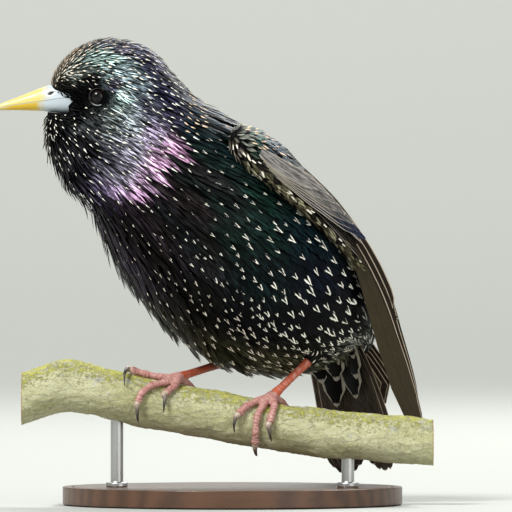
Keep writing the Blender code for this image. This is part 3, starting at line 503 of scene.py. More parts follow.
class TubeForm:
    """A round limb along a path, read at lengths along it and angles round it."""

    def __init__(self, path: Array, radii: Array) -> None:
        """Carry a round section along a path without a twist."""
        self.path, self.radii = np.asarray(path, float), np.asarray(radii, float)
        steps = np.linalg.norm(np.diff(self.path, axis=0), axis=1)
        self.lengths = np.concatenate(([0], np.cumsum(steps)))
        self.span = (0, float(self.lengths[-1]))
        sides, tops = [], []
        side = np.cross(self.path[1] - self.path[0], (0.3, 0.9, 0.1))
        last = len(self.path) - 1
        for i in range(last + 1):
            ahead = unit(self.path[min(i + 1, last)] - self.path[max(i - 1, 0)])
            side = unit(side - ahead * float(side @ ahead))
            sides.append(side)
            tops.append(np.cross(side, ahead))
        self.sides, self.tops = np.array(sides), np.array(tops)

    def read(self, table: Array, station: Array) -> Array:
        """Rows of a table of the path at some lengths along it."""
        return np.stack([np.interp(station, self.lengths, column) for column in table.T], -1)

    def point(self, station: Array, angle: Array) -> Array:
        """Places on the limb."""
        station, angle = together(station, angle)
        radius = np.interp(station, self.lengths, self.radii)
        turn = np.radians(angle)
        out = (self.read(self.sides, station) * np.cos(turn)[..., None]
               + self.read(self.tops, station) * np.sin(turn)[..., None])
        return self.read(self.path, station) + out * radius[..., None]


class PlumageMap:
    """Colours of skin and coat with painted sheen highlights, alike on both sides, blended between places of
    the body.
    """

    rough, station_scale, angle_scale = 0.42, 6, 0.36
    softness, falloff = 1.4, 2.4
    # The bright mint, silver, lilac and pink places of head and neck and the green of the flank are painted
    # highlights: the plumage's sheen set where the light falls on it.
    # Each place: station, angle, red, green and blue of the screen colour, and how metallic it is
    tones = (
        (0.7, 20, 188, 182, 162, 0.2), (1.6, 50, 196, 190, 172, 0.25), (1.5, 92, 8, 8, 9, 0),
        (1.9, 76, 86, 84, 78, 0.1), (2.6, 20, 148, 146, 142, 0.3), (2.7, 56, 176, 184, 176, 0.4),
        (2.8, 92, 7, 7, 8, 0), (3.9, 92, 8, 7, 9, 0), (4.2, 82, 9, 8, 10, 0),
        (3.4, 100, 26, 27, 28, 0.1), (3.3, 58, 162, 174, 168, 0.35), (3.7, 42, 184, 210, 202, 0.4),
        (4.4, 18, 142, 146, 158, 0.4), (4.8, 45, 184, 216, 208, 0.45), (4.4, 70, 26, 24, 28, 0.1),
        (5.1, 60, 124, 142, 142, 0.4), (5.3, 28, 124, 122, 144, 0.4), (6, 53, 178, 202, 206, 0.45),
        (5.6, 66, 44, 36, 60, 0.25), (5.2, 80, 20, 19, 23, 0.1), (6.3, 73, 180, 208, 202, 0.45),
        (6.9, 62, 120, 136, 146, 0.4), (6.2, 90, 140, 152, 150, 0.35), (5.8, 101, 76, 80, 84, 0.2),
        (6.9, 34, 72, 70, 98, 0.4), (7.5, 85, 172, 184, 190, 0.4), (7.9, 70, 114, 116, 136, 0.4),
        (8.3, 54, 56, 56, 82, 0.35), (8.8, 30, 22, 28, 44, 0.2), (9, 66, 64, 62, 84, 0.4),
        (8.6, 84, 176, 162, 190, 0.4), (7.2, 118, 94, 94, 106, 0.25), (8.2, 104, 156, 154, 170, 0.35),
        (8.4, 118, 178, 172, 192, 0.35), (9.4, 98, 198, 156, 190, 0.35), (9.6, 84, 184, 140, 172, 0.35),
        (9.3, 116, 194, 160, 192, 0.35), (10.6, 86, 30, 30, 30, 0.2), (10.6, 108, 30, 24, 24, 0.15),
        (9.6, 132, 190, 150, 186, 0.35), (9.1, 141, 188, 162, 200, 0.35), (10.6, 132, 24, 19, 20, 0.15),
        (8.3, 150, 156, 140, 178, 0.35), (9, 156, 128, 104, 146, 0.3), (7.5, 148, 84, 76, 100, 0.3),
        (9.9, 165, 26, 22, 28, 0.15), (9, 174, 46, 40, 56, 0.2), (7.2, 170, 30, 31, 38, 0.2),
        (6.2, 140, 24, 24, 30, 0.15), (5.8, 118, 26, 26, 31, 0.15), (3.4, 126, 20, 21, 23, 0.1),
        (4.6, 165, 36, 38, 38, 0.1), (1.5, 122, 46, 48, 46, 0.15), (2.4, 165, 48, 50, 48, 0.1),
        (9.7, 70, 26, 42, 50, 0.3), (10.1, 60, 24, 42, 46, 0.25), (10.2, 40, 12, 32, 40, 0.2),
        (10.2, 15, 13, 29, 46, 0.2), (10.9, 60, 20, 40, 42, 0.3), (10.8, 78, 18, 34, 31, 0.3),
        (11, 98, 15, 27, 24, 0.25), (11.6, 80, 15, 38, 32, 0.3), (11.6, 110, 13, 29, 25, 0.25),
        (12.2, 94, 13, 34, 30, 0.3), (11.8, 40, 16, 36, 38, 0.25), (12.8, 86, 12, 30, 36, 0.3),
        (10.9, 128, 14, 20, 22, 0.2), (12.6, 118, 10, 22, 24, 0.25), (13.6, 96, 8, 13, 24, 0.2),
        (11, 152, 16, 13, 12, 0.05), (12.1, 150, 12, 12, 11, 0.05), (11.2, 122, 18, 20, 18, 0.1),
        (13.1, 138, 10, 11, 15, 0.1), (14.1, 122, 8, 9, 14, 0.15), (13.6, 168, 50, 50, 38, 0),
        (14.8, 162, 80, 80, 60, 0), (13.8, 30, 32, 36, 34, 0.3), (15.4, 104, 7, 7, 9, 0.1),
        (15.4, 136, 18, 18, 16, 0.05), (15.8, 160, 74, 73, 56, 0), (16.6, 150, 92, 92, 78, 0),
        (16.4, 110, 12, 12, 14, 0.05), (16.6, 30, 44, 44, 38, 0.2), (18.5, 90, 20, 20, 22, 0.1),
    )

    def __init__(self) -> None:
        """Turn the places into tables."""
        self.places = np.array([row[:2] for row in self.tones]) * (self.station_scale, self.angle_scale)
        self.values = np.array([(*paint(*row[2:5]), row[5], self.rough) for row in self.tones])

    def at(self, station: Array, angle: Array) -> Array:
        """Colour, metal and roughness at places of the body.

        Args:
            station: places along.
            angle: places round.

        Returns:
            Five numbers for each place.
        """
        place = np.stack((station * self.station_scale, folded(angle) * self.angle_scale), -1)
        flat = place.reshape(-1, 2)
        apart = ((flat[:, None, :] - self.places[None]) ** 2).sum(-1)
        weight = 1 / (apart + self.softness) ** self.falloff
        weight /= weight.sum(1, keepdims=True)
        return (weight @ self.values).reshape(*place.shape[:-1], 5)


@dataclass(frozen=True)
class Value:
    """One output socket, with arithmetic that adds the nodes it needs."""

    sheet: "Sheet"
    socket: Any

    def math(self, operation: str, *others: Any) -> "Value":
        """Add a Math node on this value."""
        inputs = dict(enumerate((self, *others)))
        return self.sheet.node("ShaderNodeMath", {"operation": operation}, inputs)

    def __add__(self, other: Any) -> "Value":
        """Sum."""
        return self.math("ADD", other)

    __radd__ = __add__

    def __sub__(self, other: Any) -> "Value":
        """Difference."""
        return self.math("SUBTRACT", other)

    def __rsub__(self, other: Any) -> "Value":
        """Difference from a number."""
        return self.sheet.node("ShaderNodeMath", {"operation": "SUBTRACT"}, {0: other, 1: self})

    def __mul__(self, other: Any) -> "Value":
        """Product."""
        return self.math("MULTIPLY", other)

    __rmul__ = __mul__

    def __truediv__(self, other: Any) -> "Value":
        """Quotient."""
        return self.math("DIVIDE", other)

    def __abs__(self) -> "Value":
        """Size without its sign."""
        return self.math("ABSOLUTE")

    def least(self, other: Any) -> "Value":
        """Smaller of two."""
        return self.math("MINIMUM", other)

    def most(self, other: Any) -> "Value":
        """Larger of two."""
        return self.math("MAXIMUM", other)

    def fade(self, low: float, high: float, first: float = 0, last: float = 1) -> "Value":
        """Smooth step from one value to another between two limits."""
        settings = {"interpolation_type": "SMOOTHSTEP", "clamp": True}
        inputs = {"Value": self, "From Min": low, "From Max": high, "To Min": first, "To Max": last}
        return self.sheet.node("ShaderNodeMapRange", settings, inputs)


class Sheet:
    """A material under work: its node tree and its Principled shader."""

    def __init__(self, name: str) -> None:
        """Start a material."""
        self.material = bpy.data.materials.new(name)
        self.material.use_nodes = True
        self.tree = self.material.node_tree
        self.shader = self.tree.nodes["Principled BSDF"]

    def node(self, kind: str, settings: dict[str, Any], inputs: dict[Any, Any], output: Any = 0) -> Value:
        """Add a node.

        Args:
            kind: its type.
            settings: its properties, set first.
            inputs: values or links of its sockets, by name or number.
            output: the socket that is wanted.

        Returns:
            The output as a value.
        """
        made = self.tree.nodes.new(kind)
        for name, setting in settings.items():
            setattr(made, name, setting)
        for name, value in inputs.items():
            if isinstance(value, Value):
                self.tree.links.new(value.socket, made.inputs[name])
            else:
                made.inputs[name].default_value = value
        return Value(self, made.outputs[output])

    def attribute(self, name: str, output: str = "Color") -> Value:
        """Read an attribute of the mesh."""
        return self.node("ShaderNodeAttribute", {"attribute_name": name}, {}, output)

    def apart(self, colour: Value) -> tuple[Value, Value, Value]:
        """Three numbers of a colour."""
        first = self.node("ShaderNodeSeparateColor", {}, {0: colour}, 0)
        node = first.socket.node
        return first, Value(self, node.outputs[1]), Value(self, node.outputs[2])

    def vector(self, x: Any, y: Any, z: Any) -> Value:
        """Join three numbers."""
        return self.node("ShaderNodeCombineXYZ", {}, {0: x, 1: y, 2: z})

    def place(self, scale: Row = (1, 1, 1)) -> Value:
        """Object coordinates in millimetres, scaled."""
        source = self.node("ShaderNodeTexCoord", {}, {}, "Object")
        scale = tuple(v / MM for v in scale)
        return self.node("ShaderNodeMapping", {}, {"Vector": source, "Scale": scale})

    def side_view(self) -> tuple[Value, Value]:
        """Object coordinates along the bird and upwards, in millimetres."""
        x = self.node("ShaderNodeSeparateXYZ", {}, {0: self.place()}, 0)
        return x, Value(self, x.socket.node.outputs[2])

    def grain(self, vector: Value, scale: float, detail: float = 2, rough: float = 0.5) -> Value:
        """Noise from nought to one."""
        inputs = {"Vector": vector, "Scale": scale, "Detail": detail, "Roughness": rough}
        return self.node("ShaderNodeTexNoise", {}, inputs)

    def blend(self, share: Any, first: Any, last: Any) -> Value:
        """Mix two colours."""
        first, last = (colour if isinstance(colour, Value) else (*colour, 1) for colour in (first, last))
        return self.node("ShaderNodeMix", {"data_type": "RGBA"}, {0: share, 6: first, 7: last}, 2)

    def times(self, colour: Value, share: Value) -> Value:
        """Colour made darker or lighter by a number."""
        return self.node("ShaderNodeVectorMath", {"operation": "SCALE"}, {0: colour, "Scale": share})

    def bump(self, height: Value, distance: float, strength: float = 1) -> Value:
        """Bump of a height given in units of a distance in millimetres."""
        inputs = {"Height": height, "Distance": distance * MM, "Strength": strength}
        return self.node("ShaderNodeBump", {}, inputs)

    def finish(self, **sockets: Any) -> Material:
        """Set the shader's sockets and hand the material over."""
        for name, value in sockets.items():
            target = self.shader.inputs[name.replace("_", " ")]
            if isinstance(value, Value):
                self.tree.links.new(value.socket, target)
            elif isinstance(value, tuple) and len(target.default_value) == 4:
                target.default_value = (*value, 1)
            else:
                target.default_value = value
        return self.material


@dataclass(frozen=True)
class PlumageFinish:
    """Feathers: ground colour, barbs with painted glints along their hairs, painted shade towards each vane's
    edge, shafts, and pale marks at their tips or round their rims.
    """

    name: str = "plumage"
    cream: Triple = paint(240, 238, 226)
    buff: Triple = paint(206, 158, 104)
    barb_bump: float = 0.08
    gloss: float = 0.07

    def make(self) -> Material:
        """Build the material."""
        sheet = Sheet(self.name)
        ground = sheet.attribute("ground")
        metal = sheet.attribute("ground", "Alpha")
        size, style, tint = sheet.apart(sheet.attribute("marks"))
        seed = sheet.attribute("marks", "Alpha")
        edge, rough, barb_glint = sheet.apart(sheet.attribute("vane"))
        spot = sheet.node("ShaderNodeUVMap", {"uv_map": "FeatherUV"}, {})
        split = sheet.node("ShaderNodeSeparateXYZ", {}, {0: spot}, 0)
        across, back = split, Value(sheet, split.socket.node.outputs[1])
        side = abs(across)
        slant = back + 1.35 * side
        barbs = sheet.grain(sheet.vector(across * 0.4 + seed * 91, slant * 2.2, seed * 37), 1, 2, 0.6)
        hair = sheet.grain(sheet.vector(across * 2.3 + seed * 57, slant * 0.22, seed * 13), 1, 2, 0.6)
        is_rim = style.fade(1.4, 1.6)
        plain = 1 - is_rim
        rips = hair - 0.5
        wide = size.most(0.05)
        reach = back / wide
        arm = abs(side / wide - 0.2 * reach - 0.16)
        chevron = (0.28 - 0.04 * reach - arm + rips * 0.7).fade(-0.05, 0.08)
        fill = (0.5 - side / wide).fade(0, 0.1) * (hair - 0.08 * reach).fade(0.46, 0.6) * 0.6
        chevron = chevron.most(fill) * (2.4 - reach + rips * 2.4).fade(-0.1, 0.3)
        tip = (0.36 - side / wide + rips * 0.3).fade(-0.05, 0.08) * (2.5 - reach + rips * 2.4).fade(-0.1, 0.3)
        rim = (1 - edge.least(back * 0.8) / wide + rips * 0.5).fade(0, 0.35)
        rim = rim * (1 - style.fade(2.4, 2.6) * across.fade(-0.3, 0.3, 1, 0))
        is_tip = style.fade(0.4, 0.6) * plain
        is_arms = style.fade(0.4, 0.6, 1, 0)
        mask = (chevron * is_arms + tip * is_tip + rim * is_rim) * size.fade(0.02, 0.1)
        # Painted highlights: bright glints along the hairs of each vane, over the barbs' own streaks.
        glint = hair.fade(0.36, 0.66)
        shade = (1 - 0.9 * barb_glint) + barb_glint * (1.9 * glint + 0.4 * (barbs - 0.5))
        # Painted shade between feathers: each vane grows darker towards its edge.
        gap_shade = edge.fade(0, 0.26, 0.16, 1)
        shade = shade.most(0.06) * (gap_shade * plain + is_rim)
        dark = sheet.times(ground, shade)
        shaft = side.fade(0.03, 0.14, 1, 0) * is_rim
        dark = sheet.blend(shaft * 0.6, dark, paint(30, 26, 22))
        pale = sheet.times(sheet.blend(tint, self.cream, self.buff), (0.8 + hair * 0.4) * (1 - 0.4 * is_rim))
        colour = sheet.blend(mask, dark, pale)
        normal = sheet.bump((barbs * 0.35 + hair * 0.65) * barb_glint, self.barb_bump, 0.8)
        return sheet.finish(
            Base_Color=colour, Metallic=metal * (1 - mask), Roughness=rough + mask * 0.25,
            Normal=normal, Specular_IOR_Level=self.gloss)


@dataclass(frozen=True)
class SkinFinish:
    """Skin under the coat, in the dark colours that it is given: painted shade under the feathers."""

    name: str = "feathered_skin"

    def make(self) -> Material:
        """Build the material."""
        sheet = Sheet(self.name)
        ground = sheet.attribute("ground")
        fluff = sheet.grain(sheet.place(), 2.2, 4, 0.65)
        colour = sheet.times(ground, fluff * 0.9)
        return sheet.finish(Base_Color=colour, Roughness=0.8, Specular_IOR_Level=0.04,
                            Normal=sheet.bump(fluff, 0.3))


@dataclass(frozen=True)
class BillFinish:
    """Horn of the bill: blue-grey at its base, cream and yellow towards its tip."""

    name: str = "bill_horn"
    base: Triple = paint(186, 196, 202)
    middle: Triple = paint(206, 190, 108)
    front: Triple = paint(204, 190, 124)
    edge: Triple = paint(204, 166, 26)
    ridge: Triple = paint(120, 106, 84)
    nostril_shade: Triple = paint(20, 19, 20)
    nostril: tuple[float, float, float, float] = (-55.5, 142.1, 1.05, 0.55)

    def make(self) -> Material:
        """Build the material."""
        sheet = Sheet(self.name)
        x, z = sheet.side_view()
        cloud = sheet.grain(sheet.place(), 0.35, 3, 0.6)
        fine = sheet.grain(sheet.place((0.3, 1.6, 1.6)), 1.6, 3, 0.6)
        shift = (cloud - 0.5) * 4
        mouth_line, culmen_line = z - 0.1 * (x + 60) - 139, z - 0.255 * x - 159.4
        below = mouth_line.fade(-0.5, 0.3, 1, 0)
        start = x + shift + below * 2
        colour = sheet.blend(start.fade(-60, -55.5), self.middle, self.base)
        low = below * (x + shift).fade(-61.5, -57, 1, 0) * x.fade(-76, -68)
        colour = sheet.blend(low * 0.95, colour, self.edge)
        colour = sheet.blend(x.fade(-76.6, -69, 1, 0) * 0.7, colour, self.front)
        top = culmen_line.fade(-0.5, 0.5) * x.fade(-76, -66, 1, 0)
        colour = sheet.blend(top * 0.55, colour, self.ridge)
        across, level, wide, high = self.nostril
        dx, dz = (x - across) / wide, (z - level - 0.28 * (x - across)) / high
        ring = (dx * dx + dz * dz).math("SQRT")
        colour = sheet.blend(ring.fade(1.4, 2, 1, 0) * 0.8, colour, paint(236, 238, 236))
        colour = sheet.times(colour, fine * 0.22 + 0.88)
        # Painted shade inside the nostril's opening.
        colour = sheet.blend(ring.fade(0.8, 1.15, 1, 0), colour, self.nostril_shade)
        normal = sheet.bump(fine * 0.6 + cloud * 0.4, 0.06)
        return sheet.finish(
            Base_Color=colour, Roughness=0.34 + fine * 0.16, Normal=normal, Subsurface_Weight=0.08,
            Subsurface_Radius=(0.002, 0.0012, 0.0006), Coat_Weight=0.15)


@dataclass(frozen=True)
class EyeFinish:
    """Dark brown iris round a black pupil under a clear wet cornea."""

    name: str = "eye_glass"

    def make(self) -> Material:
        """Build the material."""
        sheet = Sheet(self.name)
        x, z = sheet.side_view()
        dx, dz = x - EYE_X, z - EYE_Z
        away = (dx * dx + dz * dz).math("SQRT")
        streak = sheet.grain(sheet.place(), 1.1, 3, 0.6)
        iris = sheet.times(sheet.blend(away.fade(1.6, 2.8), paint(20, 12, 9), paint(8, 6, 6)), streak + 0.5)
        colour = sheet.blend(away.fade(1.45, 1.6), paint(4, 4, 5), iris)
        return sheet.finish(Base_Color=colour, Roughness=0.16, Specular_IOR_Level=0.1, Coat_Weight=0.35,
                            Coat_Roughness=0.03)


@dataclass(frozen=True)
class LidFinish:
    """Bare grey skin of the lids, paler along the rim."""

    name: str = "lid_skin"

    def make(self) -> Material:
        """Build the material."""
        sheet = Sheet(self.name)
        x, z = sheet.side_view()
        pits = sheet.grain(sheet.place(), 3, 3, 0.6)
        low = ((x - EYE_X) * 0.8 - (z - EYE_Z) * 0.7 + pits).fade(-0.6, 1.4)
        colour = sheet.blend(low * 0.9, paint(9, 8, 9), paint(158, 160, 158))
        return sheet.finish(Base_Color=colour, Roughness=0.38, Normal=sheet.bump(pits, 0.08))


@dataclass(frozen=True)
class LegFinish:
    """Horny red skin of the feet: scutes with pale edges, wrinkled paler toes."""

    name: str = "leg_skin"
    red: Triple = paint(190, 76, 26)
    pink: Triple = paint(180, 124, 116)
    pale: Triple = paint(206, 164, 152)
    deep: Triple = paint(98, 38, 30)

    def make(self) -> Material:
        """Build the material."""
        sheet = Sheet(self.name)
        height, groove, toe = sheet.apart(sheet.attribute("limb"))
        place = sheet.place()
        patch = sheet.grain(place, 0.5, 3, 0.6)
        fine = sheet.grain(place, 2.2, 4, 0.7)
        colour = sheet.blend(0.16 + toe * 0.84, self.red, self.pink)
        colour = sheet.blend(patch.fade(0.42, 0.66) * toe * 0.5, colour, self.pale)
        colour = sheet.blend(groove * (0.25 + toe * 0.4), colour, self.deep)
        colour = sheet.blend(height * patch.fade(0.3, 0.6) * 0.55, colour, self.pale)
        colour = sheet.times(colour, fine * 0.8 + 0.55)
        return sheet.finish(
            Base_Color=colour, Roughness=0.42 + fine * 0.2, Normal=sheet.bump(fine, 0.16),
            Subsurface_Weight=0.1, Subsurface_Radius=(0.002, 0.0008, 0.0005), Coat_Weight=0.08)


@dataclass(frozen=True)
class ClawFinish:
    """Dark horn with a paler base."""

    name: str = "claw_horn"

    def make(self) -> Material:
        """Build the material."""
        sheet = Sheet(self.name)
        along = sheet.attribute("limb", "Fac")
        fine = sheet.grain(sheet.place(), 1.8, 3, 0.6)
        colour = sheet.blend(along.fade(0.1, 0.75), paint(178, 158, 140), paint(52, 47, 44))
        colour = sheet.times(colour, fine * 0.5 + 0.75)
        return sheet.finish(Base_Color=colour, Roughness=0.3 + fine * 0.15, Coat_Weight=0.2,
                            Normal=sheet.bump(fine, 0.03))


@dataclass(frozen=True)
class BarkFinish:
    """Grey-green bark with whitish patches, yellow-green lichen and fine cracks."""

    name: str = "bark"

    def make(self) -> Material:
        """Build the material."""
        sheet = Sheet(self.name)
        place = sheet.place()
        long = sheet.place((0.35, 1, 1))
        crest = sheet.attribute("crest", "Fac")
        broad = sheet.grain(long, 0.09, 4, 0.6)
        mid = sheet.grain(long, 0.6, 6, 0.72)
        fine = sheet.grain(place, 1.7, 6, 0.75)
        speck = sheet.grain(place, 0.6, 6, 0.78)
        bent = sheet.node("ShaderNodeVectorMath", {"operation": "MULTIPLY_ADD"},
                          {0: broad, 1: (6, 6, 6), 2: long})
        cracks = sheet.node("ShaderNodeTexVoronoi", {"feature": "DISTANCE_TO_EDGE"},
                            {"Vector": bent, "Scale": 0.42})
        crack = (cracks + (fine - 0.5) * 0.35).fade(0, 0.09, 1, 0) * mid.fade(0.4, 0.6)
        colour = sheet.blend(broad.fade(0.35, 0.65), paint(184, 182, 134), paint(206, 204, 164))
        colour = sheet.blend(mid.fade(0.5, 0.66) * 0.65, colour, paint(210, 208, 176))
        colour = sheet.blend(mid.fade(0.3, 0.46, 1, 0) * 0.6, colour, paint(146, 140, 96))
        lichen = (speck * 0.75 + crest * 0.22 + broad * 0.15).fade(0.56, 0.64)
        colour = sheet.blend(lichen * 0.8, colour, paint(186, 184, 66))
        chalk = (sheet.grain(place, 0.2, 6, 0.75) + crest * 0.08).fade(0.6, 0.66)
        colour = sheet.blend(chalk * 0.75, colour, paint(192, 192, 178))
        colour = sheet.blend(crack * 0.3, colour, paint(84, 80, 54))
        colour = sheet.blend(fine.fade(0.3, 0.44, 1, 0) * 0.5, colour, paint(120, 112, 76))
        colour = sheet.times(colour, fine * 0.9 + 0.5)
        ends = sheet.attribute("sawn", "Fac")
        rings = sheet.node("ShaderNodeTexWave", {"wave_type": "RINGS", "rings_direction": "X"},
                           {"Vector": place, "Scale": 0.3, "Distortion": 1.2, "Detail": 2})
        wood = sheet.blend(rings, paint(196, 168, 122), paint(160, 128, 84))
        colour = sheet.blend(ends, colour, wood)
        height = mid * 0.5 + fine * 0.6 + lichen * 0.3 - crack * 0.15
        return sheet.finish(Base_Color=colour, Roughness=0.85, Normal=sheet.bump(height, 0.9, 1))


@dataclass(frozen=True)
class MetalFinish:
    """Brushed steel of the stand's rods."""

    name: str = "stand_metal"

    def make(self) -> Material:
        """Build the material."""
        sheet = Sheet(self.name)
        brush = sheet.grain(sheet.place((4, 4, 0.12)), 1.6, 3, 0.6)
        return sheet.finish(Base_Color=paint(190, 190, 188), Metallic=1, Roughness=0.24 + brush * 0.2,
                            Normal=sheet.bump(brush, 0.02))


@dataclass(frozen=True)
class BoardFinish:
    """Waxed dark wood of the stand's base."""

    name: str = "stand_board"

    def make(self) -> Material:
        """Build the material."""
        sheet = Sheet(self.name)
        place = sheet.place((0.12, 1, 1))
        grain = sheet.grain(place, 0.35, 5, 0.65)
        pores = sheet.grain(sheet.place((0.1, 2.2, 2.2)), 1.6, 3, 0.6)
        wave = sheet.node("ShaderNodeTexWave", {"bands_direction": "Y"},
                          {"Vector": place, "Scale": 0.06, "Distortion": 5, "Detail": 3, "Detail Scale": 1.2})
        colour = sheet.blend(wave * 0.6 + grain * 0.4, paint(96, 62, 38), paint(58, 36, 23))
        colour = sheet.blend(pores.fade(0.3, 0.42, 1, 0) * 0.6, colour, paint(34, 20, 13))
        return sheet.finish(Base_Color=colour, Roughness=0.38 + grain * 0.16, Coat_Weight=0.25,
                            Normal=sheet.bump(pores * 0.6 + grain * 0.4, 0.06))


@dataclass(frozen=True)
class FloorFinish:
    """Plain pale floor."""

    name: str = "studio_floor"
    colour: Triple = paint(178, 180, 174)

    def make(self) -> Material:
        """Build the material."""
        sheet = Sheet(self.name)
        return sheet.finish(Base_Color=self.colour, Roughness=0.9)


class Finishes:
    """Every material, made once."""

    def __init__(self) -> None:
        """Make them."""
        self.plumage = PlumageFinish().make()
        self.skin = SkinFinish().make()
        self.bill = BillFinish().make()
        self.eye = EyeFinish().make()
        self.lid = LidFinish().make()
        self.leg = LegFinish().make()
        self.claw = ClawFinish().make()
        self.bark = BarkFinish().make()
        self.metal = MetalFinish().make()
        self.board = BoardFinish().make()
        self.floor = FloorFinish().make()


class Bench:
    """Work done as by hand: primitives shaped in edit mode, with modifiers applied."""

    def deselect(self) -> None:
        """Leave edit mode and let go of every object."""
        if bpy.context.object and bpy.context.object.mode != "OBJECT":
            bpy.ops.object.mode_set(mode="OBJECT")
        bpy.ops.object.select_all(action="DESELECT")

    def pick(self, obj: Piece) -> None:
        """Select one object alone and make it the active one."""
        self.deselect()
        obj.select_set(True)
        bpy.context.view_layer.objects.active = obj

    def start(self, name: str) -> Piece:
        """Name the primitive that was just added and enter edit mode."""
        made = bpy.context.object
        made.name = name
        made.data.name = name
        bpy.ops.object.mode_set(mode="EDIT")
        return made

    def done(self, obj: Piece, smooth_angle: float = 50) -> Piece:
        """Leave edit mode, put the place into the mesh and shade it."""
        self.pick(obj)
        bpy.ops.object.transform_apply(location=True, rotation=True, scale=True)
        bpy.ops.object.shade_smooth_by_angle(angle=math.radians(smooth_angle))
        obj.select_set(False)
        return obj

    def modify(self, obj: Piece, kind: str, **settings: Any) -> None:
        """Add a modifier and apply it."""
        self.pick(obj)
        made = obj.modifiers.new(kind.lower(), kind)
        for name, value in settings.items():
            setattr(made, name, value)
        bpy.ops.object.modifier_apply(modifier=made.name)

    def sections(self, name: str, rings: Sequence[Array]) -> Piece:
        """Extrude a closed form through measured sections.

        Args:
            name: the piece's name.
            rings: places of each section in millimetres, alike in number.

        Returns:
            The piece, capped at both ends.
        """
        self.deselect()
        bpy.ops.mesh.primitive_circle_add(vertices=len(rings[0]), radius=0.01, fill_type="NGON")
        made = self.start(name)
        bpy.ops.mesh.select_mode(type="VERT")
        bpy.ops.mesh.select_all(action="SELECT")
        for number, ring in enumerate(rings):
            if number:
                bpy.ops.mesh.extrude_region_move(TRANSFORM_OT_translate={"value": (0, 0, 0.001)})
            work = bmesh.from_edit_mesh(made.data)
            chosen = [vert for vert in work.verts if vert.select]
            chosen.sort(key=lambda vert: vert.index)
            order = self.loop_order(chosen)
            for vert, place in zip(order, ring):
                vert.co = Vector(place) * MM
            bmesh.update_edit_mesh(made.data)
        bpy.ops.mesh.select_all(action="SELECT")
        bpy.ops.mesh.normals_make_consistent(inside=False)
        return self.done(made)

    def loop_order(self, chosen: list[Any]) -> list[Any]:
        """Selected vertices in the order in which they go round their ring."""
        inside = set(chosen)
        order = [chosen[0]]
        seen = {chosen[0]}
        while len(order) < len(chosen):
            ahead = [edge.other_vert(order[-1]) for edge in order[-1].link_edges]
            ahead = [vert for vert in ahead if vert in inside and vert not in seen]
            ahead.sort(key=lambda vert: vert.index)
            order.append(ahead[0])
            seen.add(ahead[0])
        return order

    def join(self, name: str, pieces: Sequence[Piece]) -> Piece:
        """Join pieces into one object."""
        self.deselect()
        for piece in pieces:
            piece.select_set(True)
        bpy.context.view_layer.objects.active = pieces[0]
        bpy.ops.object.join()
        pieces[0].name = name
        pieces[0].data.name = name
        self.deselect()
        return pieces[0]


def coordinates(obj: Piece) -> Array:
    """Vertex places of an object in millimetres."""
    flat = np.empty(len(obj.data.vertices) * 3)
    obj.data.vertices.foreach_get("co", flat)
    return flat.reshape(-1, 3) / MM


def set_coordinates(obj: Piece, places: Array) -> None:
    """Move an object's vertices to places in millimetres."""
    obj.data.vertices.foreach_set("co", (places * MM).ravel())
    obj.data.update()


def store(obj: Piece, name: str, values: Array) -> None:
    """Keep numbers on an object's vertices: one, or four as a colour."""
    kind, entry = ("FLOAT", "value") if values.ndim == 1 else ("FLOAT_COLOR", "color")
    made = obj.data.attributes.new(name, kind, "POINT")
    made.data.foreach_set(entry, np.ascontiguousarray(values, np.float32).ravel())


def dress(obj: Piece, material: Material, slot: str, nodes: Sequence[str] = ()) -> None:
    """Give a finished piece its material, hang it on the root, hide the solids that it stands for and log its
    slot.
    """
    obj.data.materials.clear()
    obj.data.materials.append(material)
    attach(obj, "root")
    if nodes:
        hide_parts(*nodes)
    faces = len(obj.data.polygons)
    LOG.info("%s: %d faces, slot %s, stands for %s", obj.name, faces, slot, ", ".join(nodes) or "no solid")


class Mark(Enum):
    """Kinds of pale mark on a feather."""

    CHEVRON = 0
    TIP = 1
    RIM = 2
    SIDE = 3


# Kind of mark, with its size and tint for each feather
Marks = tuple[Mark, Any, Any]


@dataclass(frozen=True)
class Cut:
    """How a kind of feather is cut: its grid, outline, rounded tip, ragged end and thickness."""

    rows: int
    columns: int
    outline: tuple[tuple[float, float], ...]
    tip_round: float = 0.1
    ragged: float = 0.02
    thick: float = 0.2
    hug: float = 30
    camber: float = 0.06


FINE = Cut(5, 3, ((0, 0.6), (0.35, 1), (0.75, 0.8), (1, 0.16)), 0.06, 0.04, 0.16, 14, 0.1)
HACKLE = Cut(6, 3, ((0, 0.75), (0.3, 1), (0.6, 0.8), (0.85, 0.45), (1, 0.06)), 0.03, 0.02, 0.3, 20, 0.2)
CONTOUR = Cut(5, 5, ((0, 0.6), (0.35, 1), (0.72, 0.92), (0.9, 0.6), (1, 0.26)), 0.08, 0.06, 0.22, 28, 0.08)
FLUFF = Cut(5, 3, ((0, 0.7), (0.5, 1), (0.85, 0.5), (1, 0.06)), 0.05, 0.08, 0.2, 20)
COVERT = Cut(8, 5, ((0, 0.62), (0.4, 1), (0.75, 0.98), (0.9, 0.86), (1, 0.44)), 0.1, 0.01, 0.26, 40)
FLIGHT = Cut(22, 5, ((0, 0.45), (0.25, 0.9), (0.6, 1), (0.86, 0.96), (0.95, 0.76), (1, 0.3)),
             0.03, 0.002, 0.24, 60)
QUILL = Cut(20, 5, ((0, 0.3), (0.35, 0.36), (0.55, 0.76), (0.7, 0.94), (0.84, 1), (0.94, 0.86), (0.98, 0.56),
                    (1, 0.14)), 0.012, 0.003, 0.3, 60, 0.02)
ROUND = Cut(14, 5, ((0, 0.5), (0.3, 0.92), (0.6, 1), (0.92, 0.98), (1, 0.66)), 0.05, 0.004, 0.3, 60)


@dataclass
class Flock:
    """Many feathers of one cut at once, with their colours and marks."""

    cut: Cut
    track: Track
    half: Any
    tone: Array
    size: Any
    style: Mark
    tint: Any
    barb_glint: float
    patch: Array
    root_shade: float = 0.35
    patch_size: float = 0.003
    vary: float = 0.14


